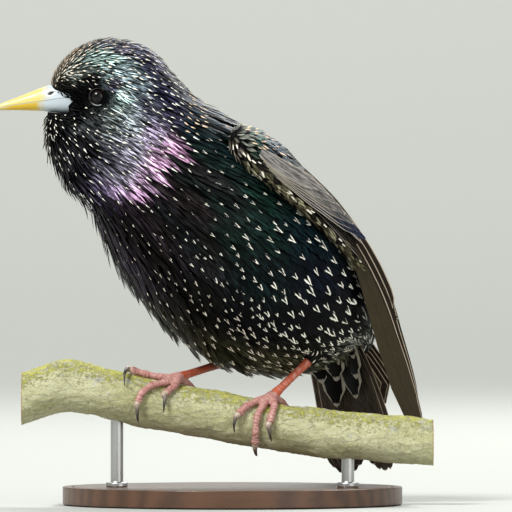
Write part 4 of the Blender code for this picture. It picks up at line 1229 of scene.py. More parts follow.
class Weaver:
    """Turns flocks into joined meshes."""

    def __init__(self, rng: np.random.Generator) -> None:
        """Keep a source of chance."""
        self.rng = rng

    def template(self, cut: Cut) -> tuple[Array, Array, Array, Array]:
        """Faces of one feather.

        Args:
            cut: its cut.

        Returns:
            Quads, vertex pairs along the rim, and the row and column of each vertex.
        """
        rows, columns = cut.rows, cut.columns
        top = np.arange(rows * columns).reshape(rows, columns)
        low = top.copy()
        inner = (rows - 2) * (columns - 2)
        low[1:-1, 1:-1] = np.arange(inner).reshape(rows - 2, columns - 2) + rows * columns
        quads = []
        for i in range(rows - 1):
            for j in range(columns - 1):
                quads.append((top[i, j], top[i + 1, j], top[i + 1, j + 1], top[i, j + 1]))
                quads.append((low[i, j], low[i, j + 1], low[i + 1, j + 1], low[i + 1, j]))
        loop = [*top[0, :], *top[1:, -1], *top[-1, -2::-1], *top[-2:0:-1, 0]]
        rim = [sorted((a, b)) for a, b in zip(loop, loop[1:] + loop[:1])]
        place = [(i, j) for i in range(rows) for j in range(columns)]
        place += [(i, j) for i in range(1, rows - 1) for j in range(1, columns - 1)]
        return np.array(quads), np.array(rim), np.array(place)[:, 0], np.array(place)[:, 1]

    def mesh_of(self, flock: Flock) -> dict[str, Array]:
        """Places, faces and values of a flock's feathers."""
        cut, track = flock.cut, flock.track
        quads, rim, row, column = self.template(cut)
        count = len(track.path)
        half, size, tint = (np.broadcast_to(values, count)[:, None]
                            for values in (flock.half, flock.size, flock.tint))
        corners = cut.rows * cut.columns
        share = np.linspace(0, 1, cut.rows)
        across = np.linspace(-1, 1, cut.columns)
        outline = np.interp(share, *np.array(cut.outline).T)
        ahead = unit(np.gradient(track.path, axis=1))
        side = unit(np.cross(track.normal, ahead))
        width = half * outline
        t, u = share[row], across[column]
        w = width[:, row]
        back = track.length[:, None] * cut.tip_round * (u * u) * t ** 3
        ragged = self.rng.uniform(-1, 1, (count, len(row))) * cut.ragged * track.length[:, None]
        back = back + ragged * (t > 0.99)
        drop = w * w * (u * u) * (0.5 / cut.hug) + cut.camber * w * (u * u)
        lateral = u * w
        where = (track.path[:, row] + side[:, row] * lateral[..., None] - ahead[:, row] * back[..., None]
                 - track.normal[:, row] * drop[..., None])
        under = np.arange(len(row)) >= corners
        where = where - track.normal[:, row] * (under * cut.thick)[:, None]
        from_tip = track.length[:, None] * (1 - t) + back
        edge = w * (1 - np.abs(u))
        tone = flock.tone[:, row] if flock.tone.ndim == 3 else flock.tone.reshape(-1, 1, 5)
        tone = np.broadcast_to(tone, (count, len(row), 5))
        seed = self.rng.random(count)
        # Painted shade at each root, where the feather lies under those over it, and a random lightness for
        # each feather, partly its own tone and partly painted glints.
        light = flock.root_shade + (1 - flock.root_shade) * ease(t * 1.6)
        light = light * (1 - flock.vary + 2 * flock.vary * seed ** 1.4)[:, None]
        ones = np.ones((count, len(row)))
        ground = np.concatenate((tone[..., :3] * light[..., None], tone[..., 3:4]), -1)
        marks = np.stack((size * ones, flock.style.value * ones, tint * ones, seed[:, None] * ones), -1)
        vane = np.stack((edge, tone[..., 4], flock.barb_glint * ones, ones), -1)
        patch = np.stack((u * ones, 2 * t * ones - 1), -1) * flock.patch_size / 2
        patch = patch + flock.patch[:, None, :]
        offset = (np.arange(count) * len(row))[:, None, None]
        return {
            "place": where.reshape(-1, 3), "quads": (quads[None] + offset).reshape(-1, 4),
            "rim": (rim[None] + offset).reshape(-1, 2), "ground": ground.reshape(-1, 4),
            "marks": marks.reshape(-1, 4), "vane": vane.reshape(-1, 4),
            "own": np.stack((lateral, from_tip), -1).reshape(-1, 2), "patch": patch.reshape(-1, 2)}

    def weave(self, name: str, flocks: Sequence[Flock]) -> Piece:
        """Join flocks into one object.

        Args:
            name: its name.
            flocks: the feathers.

        Returns:
            The object, with its colours, marks and two UV maps.
        """
        parts = [self.mesh_of(flock) for flock in flocks]
        starts = np.cumsum([0] + [len(part["place"]) for part in parts[:-1]])
        quads = np.concatenate([part["quads"] + start for part, start in zip(parts, starts)])
        rim = np.concatenate([part["rim"] + start for part, start in zip(parts, starts)])
        place = np.concatenate([part["place"] for part in parts])
        mesh = bpy.data.meshes.new(name)
        mesh.vertices.add(len(place))
        mesh.vertices.foreach_set("co", (place * MM).ravel())
        mesh.loops.add(quads.size)
        mesh.loops.foreach_set("vertex_index", quads.ravel())
        mesh.polygons.add(len(quads))
        mesh.polygons.foreach_set("loop_start", np.arange(len(quads)) * 4)
        mesh.polygons.foreach_set("use_smooth", np.ones(len(quads), bool))
        mesh.update(calc_edges=True)
        pairs = np.empty(len(mesh.edges) * 2, int)
        mesh.edges.foreach_get("vertices", pairs)
        pairs = np.sort(pairs.reshape(-1, 2), axis=1)
        count = len(place)
        sharp = np.isin(pairs[:, 0] * count + pairs[:, 1], rim[:, 0] * count + rim[:, 1])
        made = mesh.attributes.new("sharp_edge", "BOOLEAN", "EDGE")
        made.data.foreach_set("value", sharp)
        for key, label in (("patch", "OFBake"), ("own", "FeatherUV")):
            values = np.concatenate([part[key] for part in parts])
            layer = mesh.uv_layers.new(name=label)
            layer.uv.foreach_set("vector", values[quads.ravel()].astype(np.float32).ravel())
        obj = bpy.data.objects.new(name, mesh)
        bpy.context.scene.collection.objects.link(obj)
        for key in ("ground", "marks", "vane"):
            store(obj, key, np.concatenate([part[key] for part in parts]))
        return obj


@dataclass
class Model:
    """What every sub-assembly shares."""

    body: BodyForm
    branch: BranchForm
    palette: PlumageMap
    finishes: Finishes
    bench: Bench
    weaver: Weaver
    rng: np.random.Generator

    def flesh(self, obj: Piece, colour: Triple, node: str) -> None:
        """Colour and dress the flesh under the feathers of a wing or the tail."""
        store(obj, "ground", np.tile(np.array((*paint(*colour), 0)), (len(obj.data.vertices), 1)))
        dress(obj, self.finishes.skin, "flight_feathers", (node,))

    def feathers(self, name: str, flocks: Sequence[Flock], slot: str = "flight_feathers") -> None:
        """Weave and dress one piece of feathers."""
        dress(self.weaver.weave(name, flocks), self.finishes.plumage, slot)


@dataclass
class Skin:
    """One closed skin of head, neck, trunk and feathered shins, under the coat."""

    model: Model
    depth_head: float = 0.8
    depth_body: float = 1.7
    sides: int = 96
    rings: int = 120
    voxel: float = 0.9
    shin_stations: Rows = ((-0.9, 2.05), (1.6, 2.8), (6, 4.2), (11, 4.4), (15, 3.4))

    def shin(self, side: str) -> TubeForm:
        """Form of a feathered shin from its tarsus into the belly."""
        top, palm = self.model.branch.foot(side)
        way, lean = unit(palm - top), unit(np.array(FEET[side]["shin"]))
        path = [top - way * self.shin_stations[0][0]]
        for length, _ in self.shin_stations[1:]:
            share = float(ease(np.array(length / 11)))
            path.append(top + unit(-way * (1 - share) + lean * share) * length)
        return TubeForm(np.array(path), np.array([radius for _, radius in self.shin_stations]))

    def build(self) -> None:
        """Make the skin and dress it in the coat's colours."""
        body, bench = self.model.body, self.model.bench
        angles = np.arange(self.sides) * 360 / self.sides
        rings = []
        for station in np.linspace(0, LAST_STATION, self.rings):
            share = float(ease(np.array((station - 6) / 4.5)))
            depth = self.depth_head * (1 - share) + self.depth_body * share
            rings.append(body.point(np.full(self.sides, station), angles, -depth))
        trunk = bench.sections("skin", rings)
        pieces = [trunk]
        for side in FEET:
            shin = self.shin(side)
            rows = np.linspace(0, shin.span[1], 14)
            turn = np.arange(20) * 18
            pieces.append(bench.sections("shin", [shin.point(np.full(20, row), turn) for row in rows]))
        obj = bench.join("skin", pieces)
        bench.modify(obj, "REMESH", mode="VOXEL", voxel_size=self.voxel * MM, use_smooth_shade=True)
        bench.modify(obj, "SMOOTH", factor=0.5, iterations=3)
        front = np.concatenate((((-64, 136.6),), BILL_EDGE, ((-64, 145.3),)))
        rings = [np.stack((front[:, 0], np.full(len(front), y), front[:, 1]), -1) for y in (-44, 0)]
        cutter = bench.sections("slot", rings)
        bench.modify(obj, "BOOLEAN", object=cutter, operation="DIFFERENCE", solver="MANIFOLD")
        bpy.data.objects.remove(cutter, do_unlink=True)
        tone = self.tones(coordinates(obj))
        # The coat's colours at a quarter of their strength: painted shade under the feathers.
        store(obj, "ground", np.concatenate((tone[:, :3] * 0.25, np.zeros((len(tone), 1))), 1))
        bench.done(obj, 180)
        solids = ("head", "neck", "torso", "thigh_left", "thigh_right")
        dress(obj, self.model.finishes.skin, "plumage", solids)

    def tones(self, places: Array) -> Array:
        """Plumage colours nearest to some places."""
        stations, angles = np.meshgrid(np.linspace(0, LAST_STATION, 150), np.arange(72) * 5, indexing="ij")
        grid = self.model.body.point(stations, angles).reshape(-1, 3)
        tree = kdtree.KDTree(len(grid))
        for number, place in enumerate(grid.tolist()):
            tree.insert(place, number)
        tree.balance()
        nearest = np.array([tree.find(place)[1] for place in places.tolist()])
        return self.model.palette.at(stations.ravel()[nearest], angles.ravel()[nearest])


def unmarked(track: Track, tip_s: Array, tip_a: Array) -> Marks:
    """No marks on any of some feathers."""
    return Mark.CHEVRON, 0, 0


@dataclass
class Coat:
    """Feathers of head, neck and trunk."""

    model: Model
    eye_clear: float = 3.15
    mark_lift: float = 0.22

    def sow(self, low: float, high: float, inside: Region,
            spacing: tuple[Row, Row], tries: float = 9) -> tuple[Array, Array]:
        """Spread roots evenly over a region of the body.

        Args:
            low: first station.
            high: last station.
            inside: which places belong to the region.
            spacing: stations, and the least distance between roots there.
            tries: how many candidates are thrown for each expected root.

        Returns:
            Stations and angles of the roots.
        """
        rng, body = self.model.rng, self.model.body
        trial_s = rng.uniform(low, high, 4000)
        trial_a = rng.uniform(0, 360, 4000)
        area = self.area(trial_s, trial_a)
        whole = float(area.mean()) * (high - low) * 360
        count = min(int(tries * whole / min(spacing[1]) ** 2), 160000)
        s, a = rng.uniform(low, high, count), rng.uniform(0, 360, count)
        keep = (rng.uniform(0, float(area.max()), count) < self.area(s, a)) & inside(s, a)
        s, a = s[keep], a[keep]
        kept = scatter(body.point(s, a), np.interp(s, *spacing))
        return s[kept], a[kept]

    def dotted(self, track: Track, gap: Array, low: float, high: float) -> Array:
        """Sizes of marks between two limits, the marks unevenly apart, and nought for the rest."""
        rng, count = self.model.rng, len(track.path)
        marked = np.zeros(count)
        marked[scatter(track.path[:, -1], gap * rng.uniform(0.65, 1.4, count))] = 1
        return marked * rng.uniform(low, high, count)

    def area(self, s: Array, a: Array) -> Array:
        """Area of the surface for one station and one degree."""
        body = self.model.body
        along = (body.point(s + 0.05, a) - body.point(s - 0.05, a)) / 0.1
        across = (body.point(s, a + 1) - body.point(s, a - 1)) / 2
        return np.linalg.norm(np.cross(along, across), axis=-1)

    def patch(self, s: Array, a: Array) -> Array:
        """Place of each root on the skin's unwrap."""
        return np.stack((0.02 + 0.96 * s / LAST_STATION, 0.02 + 0.96 * (a % 360) / 360), -1)

    def clear_eye(self, track: Track) -> Array:
        """Which paths keep clear of both eyes."""
        away = np.hypot(track.path[..., 0] - EYE_X, track.path[..., 2] - EYE_Z)
        return (away.min(axis=1) > self.eye_clear) | (track.path[:, 0, 0] > -20)

    def clear_bill(self, track: Track) -> Array:
        """Which paths keep off the bill's base."""
        x, z = track.path[..., 0], track.path[..., 2]
        edge = np.interp(z, BILL_EDGE[:, 1], BILL_EDGE[:, 0])
        inside = (x < edge + 0.1) & (z > BILL_EDGE[0, 1] + 0.2) & (z < BILL_EDGE[-1, 1] - 0.2)
        return ~inside.any(axis=1)

    def flock(self, cut: Cut, s: Array, a: Array, length: Array, half: Array, rises: tuple[Any, Any],
              turn: Array, barb_glint: float, choose: Callable[[Track, Array, Array], Marks],
              root_shade: float = 0.35, vary: float = 0.3, span: tuple[float, float] = (0, LAST_STATION),
              ends: tuple[Row, Row] = ((0,), (99,))) -> Flock:
        """Make feathers on the body.

        Args:
            cut: their cut.
            s: stations of the roots.
            a: angles of the roots.
            length: their lengths.
            half: their half widths.
            rises: heights over the surface at root and tip.
            turn: lean of each.
            barb_glint: contrast of the barbs and of the painted glints along them.
            choose: gives kind, size and tint of the marks from the paths and the places of their tips.
            root_shade: how dark the roots are.
            vary: how much one feather is lighter than the next.
            span: stations whose colours they take.
            ends: angles, and the station that the tips keep short of there.

        Returns:
            The flock.
        """
        track = self.model.body.track(s, a, length, turn, cut.rows)
        keep = self.clear_eye(track) & self.clear_bill(track)
        limit = np.interp(folded(track.angle[:, -1]), *ends) + self.model.rng.normal(0, 0.14, len(s))
        keep &= track.station[:, -1] < limit
        track, half = track.part(keep), half[keep]
        style, size, tint = choose(track, track.station[:, -1], folded(track.angle[:, -1]))
        root, tip = (np.broadcast_to(rise, s.shape)[keep] for rise in rises)
        tip = tip + self.mark_lift * (size > 0.05)
        tone = self.model.palette.at(np.clip(track.station, *span), track.angle)
        patch = self.patch(track.station[:, 0], track.angle[:, 0])
        return Flock(cut, track.raised(root, tip, 0.8), half, tone, size, style, tint, barb_glint, patch,
                     root_shade=root_shade, vary=vary)

    def hackle_edge(self, s: Array) -> Array:
        """Angle at which the hackles begin below the head's fine feathers; none on the neck behind them."""
        return np.interp(s, (0, 2, 4, 6, 8.4, 8.41), (146, 120, 108, 100, 92, 0))

    def head(self) -> None:
        """Fine short feathers of crown, face and ear coverts."""
        rng = self.model.rng
        s, a = self.sow(0.25, 8.4, lambda s, a: folded(a) < self.hackle_edge(s) + 4,
                        ((0, 2.6, 4.4, 8.4), (0.66, 0.72, 0.86, 1)))
        fold = folded(a)
        length = np.interp(s, (0.2, 2, 5, 8.4), (1.8, 2.8, 4.8, 7)) * rng.uniform(0.8, 1.25, len(s))
        ear = ease((fold - 56) / 14) * ease((s - 3.6) / 1.2)
        length *= np.where((fold > 70) & (s < 4.2), 0.66, 1) + 0.55 * ear * np.interp(s, (5, 8), (1, 0.3))
        half = np.interp(s, (0.2, 4, 8.4), (0.25, 0.32, 0.46)) * rng.uniform(0.7, 1.2, len(s))
        half *= 1 - 0.2 * ear
        turn = rng.normal(0, 8, len(s))
        def choose(track: Track, tip_s: Array, tip_a: Array) -> Marks:
            """Buff specks over the crown and brow, white ones on the nape."""
            gap = np.interp(tip_s, (0, 2.6, 4, 8.4), (0.7, 0.85, 1.25, 1.9))
            gap = np.where((tip_a > 74) & (tip_s < 6.4), 2.8, gap)
            gap = np.where((np.abs(tip_a - 48) < 9) & (np.abs(tip_s - 4.8) < 1.3), 3.4, gap)
            size = self.dotted(track, gap, 0.55, 1.1)
            size *= np.interp(tip_s, (0, 2.6, 4, 8.4), (0.62, 0.7, 0.6, 0.78))
            size = np.where((tip_a > 78) & (tip_a < 104) & (tip_s < 4.6), 0, size)
            tint = np.clip(0.5 - 0.07 * tip_s + 0.3 * np.exp(-((tip_a - 10) / 30) ** 2), 0, 1)
            return Mark.TIP, size, tint
        tip_rise = 0.1 + rng.random(len(s)) ** 1.6 * np.where(s < 2.5, 0.5, 0.85)
        flock = self.flock(FINE, s, a, length, half, (-0.6, tip_rise), turn, 1, choose, 0.45, 0.75)
        self.model.feathers("coat_head", [flock, self.lashes()], "plumage")

    def lashes(self) -> Flock:
        """Tiny feathers close round the eyes."""
        rng, body = self.model.rng, self.model.body
        def inside(s: Array, a: Array) -> Array:
            """Near an eye."""
            place = body.point(s, a)
            away = np.hypot(place[:, 0] - EYE_X, place[:, 2] - EYE_Z)
            return (away < 5.6) & (place[:, 0] < -20)
        s, a = self.sow(2.8, 7.2, inside, ((0,), (0.42,)), 30)
        length, half = rng.uniform(1.1, 1.7, len(s)), rng.uniform(0.16, 0.24, len(s))
        turn = rng.normal(0, 14, len(s))
        return self.flock(FINE, s, a, length, half, (-0.25, 0.18), turn, 1, unmarked, 0.6)

    def bristles(self) -> Flock:
        """Short whitish bristles of the chin, right under the bill and the gape."""
        rng = self.model.rng
        s, a = self.sow(0, 2.8, lambda s, a: folded(a) > np.interp(s, (0, 1.2, 2.2, 2.8), (96, 90, 92, 128)),
                        ((0, 2.8), (0.45, 0.7)), 20)
        length = np.interp(s, (0, 0.6, 2.4), (1.4, 2.6, 4)) * rng.uniform(0.7, 1.3, len(s))
        def choose(track: Track, tip_s: Array, tip_a: Array) -> Marks:
            """Thin pale ends."""
            return Mark.TIP, self.dotted(track, 0.95, 0.3, 0.7), 0.1
        half = rng.uniform(0.2, 0.32, len(s))
        lift = rng.uniform(0.2, 1.3, len(s))
        return self.flock(FINE, s, a, length, half, (-0.3, lift), rng.normal(0, 14, len(s)), 1, choose, 0.4)

    def neck(self) -> None:
        """Long narrow hackles of throat and neck."""
        rng = self.model.rng
        s, a = self.sow(0.2, 9.4, lambda s, a: folded(a) >= self.hackle_edge(s),
                        ((0.2, 1.5, 6, 8.6), (0.8, 1, 1.15, 1.55)))
        fold = folded(a)
        below = ease((fold - 50) / 50)
        length = np.interp(s, (0.2, 1, 3, 5, 7, 9), (2, 4, 7.5, 10.5, 14.5, 15.5))
        length = length * (0.6 + 0.4 * below) * rng.uniform(0.85, 1.15, len(s))
        half = np.interp(s, (0.2, 4, 6.5, 9), (0.32, 0.46, 0.72, 0.92)) * rng.uniform(0.8, 1.2, len(s))
        turn = rng.normal(0, 6, len(s))
        def choose(track: Track, tip_s: Array, tip_a: Array) -> Marks:
            """White streaks at many of the tips."""
            gap = np.interp(tip_s, (2, 6, 9, 11), (1.4, 1.8, 3, 3.6))
            gap = np.where(tip_a < 72, 1.9, gap)
            size = self.dotted(track, gap, 0.55, 1.1)
            size *= np.interp(tip_s, (2, 8, 11), (0.66, 0.86, 0.86))
            tint = np.where(tip_a < 70, 0.55, 0.03)
            return Mark.TIP, size, tint
        loose = rng.random(len(s)) ** 3 * np.interp(s, (0, 1, 7, 9), (0.5, 2.2, 2.2, 1.2))
        lift = (np.interp(s, (0.2, 1, 5, 9), (0.2, 0.5, 0.8, 0.9)) + loose) * (0.3 + 0.7 * below)
        ends = ((0, 84, 128, 138, 150, 180), (10.3, 10.15, 10.15, 9.6, 8.9, 8.8))
        flock = self.flock(HACKLE, s, a, length, half, (-1.3, lift), turn, 1, choose, 0.2, 0.7, (0, 9.7),
                           ends)
        self.model.feathers("coat_neck", [flock, self.bristles()], "plumage")

    def trunk(self, name: str, inside: Region, spacing: float) -> None:
        """Contour feathers of one part of the trunk, with white or buff marks."""
        rng = self.model.rng
        def belongs(s: Array, a: Array) -> Array:
            """Inside its part and not far under the hackles."""
            start = np.interp(folded(a), (0, 80, 130, 150, 180), (9.6, 9.2, 9, 7.8, 7.6))
            return inside(s, a) & (s > start)
        s, a = self.sow(7.6, 17.6, belongs, ((7.6,), (spacing,)))
        fold = folded(a)
        length = np.interp(s, (8, 10, 12, 15, 17.6), (9, 13, 12, 10, 8))
        length *= rng.uniform(0.85, 1.15, len(s))
        half = np.interp(s, (8, 10.1, 11.5, 13, 16), (0.6, 0.8, 1.1, 1.7, 1.8))
        half *= rng.uniform(0.8, 1.15, len(s))
        half = half * np.where(fold < 60, 1.25, 1)
        turn = rng.normal(0, 5, len(s)) + self.lean(s, a)
        def choose(track: Track, tip_s: Array, tip_a: Array) -> Marks:
            """Chevrons on breast and flank, streaks on the belly, buff tips on the mantle."""
            gap = np.interp(tip_a, (40, 70, 102, 118, 130, 180), (2.8, 4.2, 4.8, 3.6, 2.6, 2.2))
            gap = np.where(tip_s > 15.2, gap * 0.85, gap)
            size = self.dotted(track, gap, 0.65, 1.2)
            size *= np.interp(tip_s, (10, 11.5, 13.5, 15.5), (0.6, 0.84, 1.35, 1.45))
            size *= np.interp(tip_a, (40, 70, 104, 130, 180), (0.7, 0.9, 1, 0.62, 0.55))
            tint = np.clip((66 - tip_a) / 24, 0.02, 0.85)
            tint = np.maximum(tint, np.clip((tip_a - 130) / 60, 0, 0.22))
            return Mark.CHEVRON, size, tint
        tip_rise = 0.15 + rng.random(len(s)) ** 2 * (0.6 + 2 * ease((fold - 140) / 25))
        flock = self.flock(CONTOUR, s, a, length, half, (-1.5, tip_rise), turn, 0.95, choose, 0.4, 0.5,
                           (10.7, LAST_STATION))
        self.model.feathers(name, [flock], "plumage")

    def lean(self, s: Array, a: Array) -> Array:
        """Degrees by which flank feathers lean towards the belly, on either side."""
        fold = folded(a)
        amount = 16 * ease((s - 10.8) / 2.4) * ease((fold - 60) / 20) * ease((152 - fold) / 30)
        return amount * np.sign((a + 180) % 360 - 180)

    def vent(self) -> None:
        """Loose grey wisps round the legs and under the tail's root."""
        rng = self.model.rng
        s, a = self.sow(14.9, 17.4, lambda s, a: folded(a) > np.interp(s, (14.9, 15.8), (150, 104)),
                        ((0,), (1.7,)))
        length = rng.uniform(4, 8, len(s))
        half = rng.uniform(0.5, 1, len(s))
        lift = rng.uniform(0.3, 1.6, len(s))
        turn = rng.normal(0, 13, len(s))
        flock = self.flock(FLUFF, s, a, length, half, (-1.2, lift), turn, 0.8, unmarked, 0.5)
        grey = toned(178, 180, 172, 0, 0.7)
        share = rng.random(len(flock.tone))[:, None, None] ** 1.7
        flock.tone = flock.tone * (1 - share) + grey * share
        self.model.feathers("coat_vent", [flock], "plumage")

    def build(self) -> None:
        """Make every coat piece of the body."""
        self.head()
        self.neck()
        self.trunk("coat_flank", lambda s, a: (folded(a) >= 62) & (folded(a) < 128), 2)
        self.trunk("coat_belly", lambda s, a: folded(a) >= 128, 1.9)
        self.trunk("coat_back", lambda s, a: folded(a) < 62, 2.7)
        self.vent()
        for side in FEET:
            self.shin(side)

    def shin(self, side: str) -> None:
        """Short feathers of a shin."""
        rng = self.model.rng
        form = Skin(self.model).shin(side)
        count = 420
        station = form.span[1] - rng.uniform(0.5, form.span[1] + 0.4, count)
        station = np.clip(station, 0.4, form.span[1])
        angle = rng.uniform(0, 360, count)
        length = rng.uniform(3, 4.5, count)
        rows = FLUFF.rows
        share = np.arange(rows) / (rows - 1)
        stations = np.clip(station[:, None] - length[:, None] * share, 0, form.span[1])
        angles = np.repeat(angle[:, None], rows, 1)
        path = form.point(stations, angles)
        normal = unit(path - form.read(form.path, stations))
        track = Track(path, normal, stations, angles, length).raised(-0.3, 0.4)
        pale = rng.random(count) < 0.12
        size = np.where(pale, 0.6, 0)
        patch = np.stack((0.03 + 0.9 * rng.random(count), np.full(count, 0.008)), -1)
        flock = Flock(FLUFF, track, 0.7, toned(22, 20, 20, 0.05, 0.5), size, Mark.TIP, 0.3, 0.7, patch)
        self.model.feathers("coat_shin_" + side, [flock], "plumage")


@dataclass
class WingPart:
    """One folded wing: flesh, covering feathers and flight feathers."""

    model: Model
    form: WingForm
    name: str
    roll: float = 0
    primary_reach: tuple[float, ...] = (0.985, 1, 0.998, 0.99, 0.98, 0.7)
    primary_levels: tuple[tuple[float, ...], ...] = (
        (34, 70), (24, 40, 60, 80, 95, 110, 120, 127), (6.5, 6.2, 5.2, 3.45, 1.75, 0.7, 0.3, 0),
        (0.4, 0.7, 1, 1.12, 0.92, 0.78, 0.55, 0.45))
    veil_levels: tuple[tuple[float, ...], ...] = (
        (-6, 14), (3, 14, 26, 40, 53), (6, 6.6, 8.2, 10.6, 12.6), (0.5, 0.85, 1.05, 0.8, 0.4))

    def row(self, cut: Cut, count: int, roots: Rows, tips: Rows, rises: Rows, half: float, tones: Rows,
            rim: float, tint: float, barb_glint: float = 0.6) -> Flock:
        """A row of like feathers spread between its first and its last.

        Args:
            cut: their cut.
            count: how many.
            roots: first and last root, along and across.
            tips: first and last tip, along and across.
            rises: first and last height at root and tip.
            half: half width.
            tones: first and last tone.
            rim: width of the pale edge.
            tint: how buff the edge is.
            barb_glint: contrast of the barbs and of the painted glints along them.

        Returns:
            The flock.
        """
        end = spread(tips, count) + self.model.rng.normal(0, 0.25, (count, 2))
        track = self.form.track(spread(roots, count), end, spread(rises, count), cut.rows)
        tone = spread([toned(*tone) for tone in tones], count)
        size = 0.012 if cut is FLIGHT else 0.006
        return Flock(cut, track, half, tone, rim, Mark.RIM, tint, barb_glint, self.patch(track), 0.8, size)

    @property
    def rolled(self) -> bool:
        """Whether the long feathers turn their faces to the side."""
        return self.roll > 45

    def patch(self, track: Track) -> Array:
        """Place of each feather's middle on the wing's own unwrap."""
        middle = track.station.shape[1] // 2
        along = 0.03 + 0.94 * np.clip((track.station[:, middle] + 8) / 140, 0, 1)
        return np.stack((along, 0.03 + 0.94 * np.clip((track.angle[:, middle] + 6) / 45, 0, 1)), -1)

    def stack(self, cut: Cut, reach: tuple[Array, Array], levels: Rows, step: tuple[float, float],
              depth: Triple, roll: float, half: float) -> Track:
        """Long feathers lying one over another, turned so that their faces show from the side.

        Args:
            cut: their cut.
            reach: lengths along the wing where each begins and ends.
            levels: lengths along the wing, height of the first one's front edge, and rise to the next edge.
            step: rise and depth from one to the next where the feathers lie flat.
            depth: how deep the first begins, how deep it ends, and how much deeper each next one lies.
            roll: turn of the faces, in degrees.
            half: half width.

        Returns:
            The paths, their normals turned with the faces.
        """
        full = math.sin(math.radians(roll))
        number = np.arange(len(reach[0]), dtype=float)[:, None]
        share = np.linspace(0, 1, cut.rows)
        along = reach[0][:, None] * (1 - share) + reach[1][:, None] * share
        turn = np.radians(roll) * ease((along - levels[0][0]) / (levels[0][1] - levels[0][0]))
        level, rise = (np.interp(along, levels[1], row) for row in levels[2:])
        edge = full * (level + number * rise) + (1 - full) * (1 + number * step[0])
        edge = edge - full * 0.32 * half * share ** 10
        deep = depth[0] * (1 - share) + depth[1] * share + number * (full * depth[2] + (1 - full) * step[1])
        width = half * np.interp(share, *np.array(cut.outline).T)
        across, height = deep + width * np.cos(turn), edge - width * np.sin(turn)
        path, upper = self.form.place(along, across, height)
        ahead_edge, rear_edge = (self.form.place(along, across + step, height)[0] for step in (0.5, -0.5))
        side = unit(ahead_edge - rear_edge)
        ahead = unit(np.gradient(path, axis=1))
        sense = np.sign((np.cross(side, ahead) * upper).sum(-1, keepdims=True))
        normal = unit(upper * np.cos(turn)[..., None] + side * (np.sin(turn)[..., None] * sense))
        length = np.linalg.norm(np.diff(path, axis=1), axis=-1).sum(axis=1)
        return Track(path, normal, along, across, length)

    def primaries(self) -> Flock:
        """Long outer flight feathers: the plain face of the outermost, and the edges of the rest."""
        reach = self.form.chord * np.array(self.primary_reach)
        track = self.stack(QUILL, (np.full(len(reach), 24), reach), self.primary_levels, (0.45, 1.3),
                           (4.4, 1.6, 0.55), self.roll, 4.55)
        share = np.minimum(np.arange(len(reach)), 1)[:, None]
        tone = toned(62, 55, 40, 0, 0.5) * (1 - share)
        tone = tone + toned(38, 30, 24, 0.05, 0.45) * share
        style, size = Mark.RIM, 0.3
        if self.rolled:
            style, size = Mark.SIDE, np.where(np.arange(len(reach)) % 2 == 1, 0.42, 0)
        return Flock(QUILL, track, 4.55, tone, size, style, 0.45, 0.12, self.patch(track), 0.85, 0.02)

    def veil(self) -> Flock:
        """Long streaked coverts whose edges sweep down over the roots of the primaries."""
        starts = np.array((14, 10, 8, 6, 4, 3))
        ends = np.array((54.5, 51, 46.5, 41.5, 35.5, 29))
        track = self.stack(COVERT, (starts, ends), self.veil_levels, (0.3, 2.2), (-1.4, -1, -0.34),
                           self.roll * 0.8, 2.5)
        share = ease((np.arange(len(starts)) - 0.6) / 2.4)[:, None]
        tone = toned(48, 54, 74, 0.3, 0.36) * (1 - share)
        tone = tone + toned(126, 122, 120, 0.2, 0.42) * share
        return Flock(COVERT, track, 2.5, tone, 0.3, Mark.RIM, 0.3, 0.6, self.patch(track), 0.85, 0.01)

    def rows(self) -> list[Flock]:
        """Secondaries, tertials and the coverts of the upper side."""
        brown = (56, 47, 41, 0.1, 0.42)
        # The coverts' light silver on the wing whose long feathers turn their faces to the side is a painted
        # sheen; the other wing gets a darker, shaded copy of the same feathers.
        silver = (116, 108, 108, 0.2, 0.4) if self.rolled else (74, 68, 64, 0.2, 0.4)
        blue, teal = (30, 38, 62, 0.35, 0.36), (20, 46, 58, 0.4, 0.38)
        return [
            self.row(FLIGHT, 6, ((18, 12), (21, 24)), ((89, 7.5), (84, 12.5)),
                     ((4.4, 6.6), (6.9, 8.5)), 4.6, (brown, brown), 0.5, 0.6),
            self.row(COVERT, 3, ((22, 19), (22, 25.8)), ((86, 13), (74, 19.4)),
                     ((7.2, 8.6), (8, 9.2)), 4.8, (brown, brown), 0.5, 0.6),
            self.row(COVERT, 10, ((30, 3), (30, 26)), ((58.5, 3.2), (51, 24.2)),
                     ((5.2, 7.9), (5.2, 7.9)), 2.1, (silver, blue), 0.3, 0.3, 0.9),
            self.row(COVERT, 9, ((14, 3), (14, 24)), ((35.5, 2.6), (32, 25.6)),
                     ((4.6, 8.5), (4.6, 8.5)), 2.1, (silver, teal), 0.35, 0.25, 0.9),
            self.row(COVERT, 4, ((34, 1.2), (34, 5)), ((61, 1.6), (56.2, 5.4)),
                     ((3.2, 4.2), (4.6, 5.6)), 1.5, (silver, blue), 0.3, 0.3, 0.9),
            self.row(COVERT, 4, ((8, 0.6), (8, 2.8)), ((30, 0.8), (25, 2.8)),
                     ((3.6, 6.4), (3.6, 7)), 1.4, (silver, silver), 0.3, 0.2, 0.9),
        ]

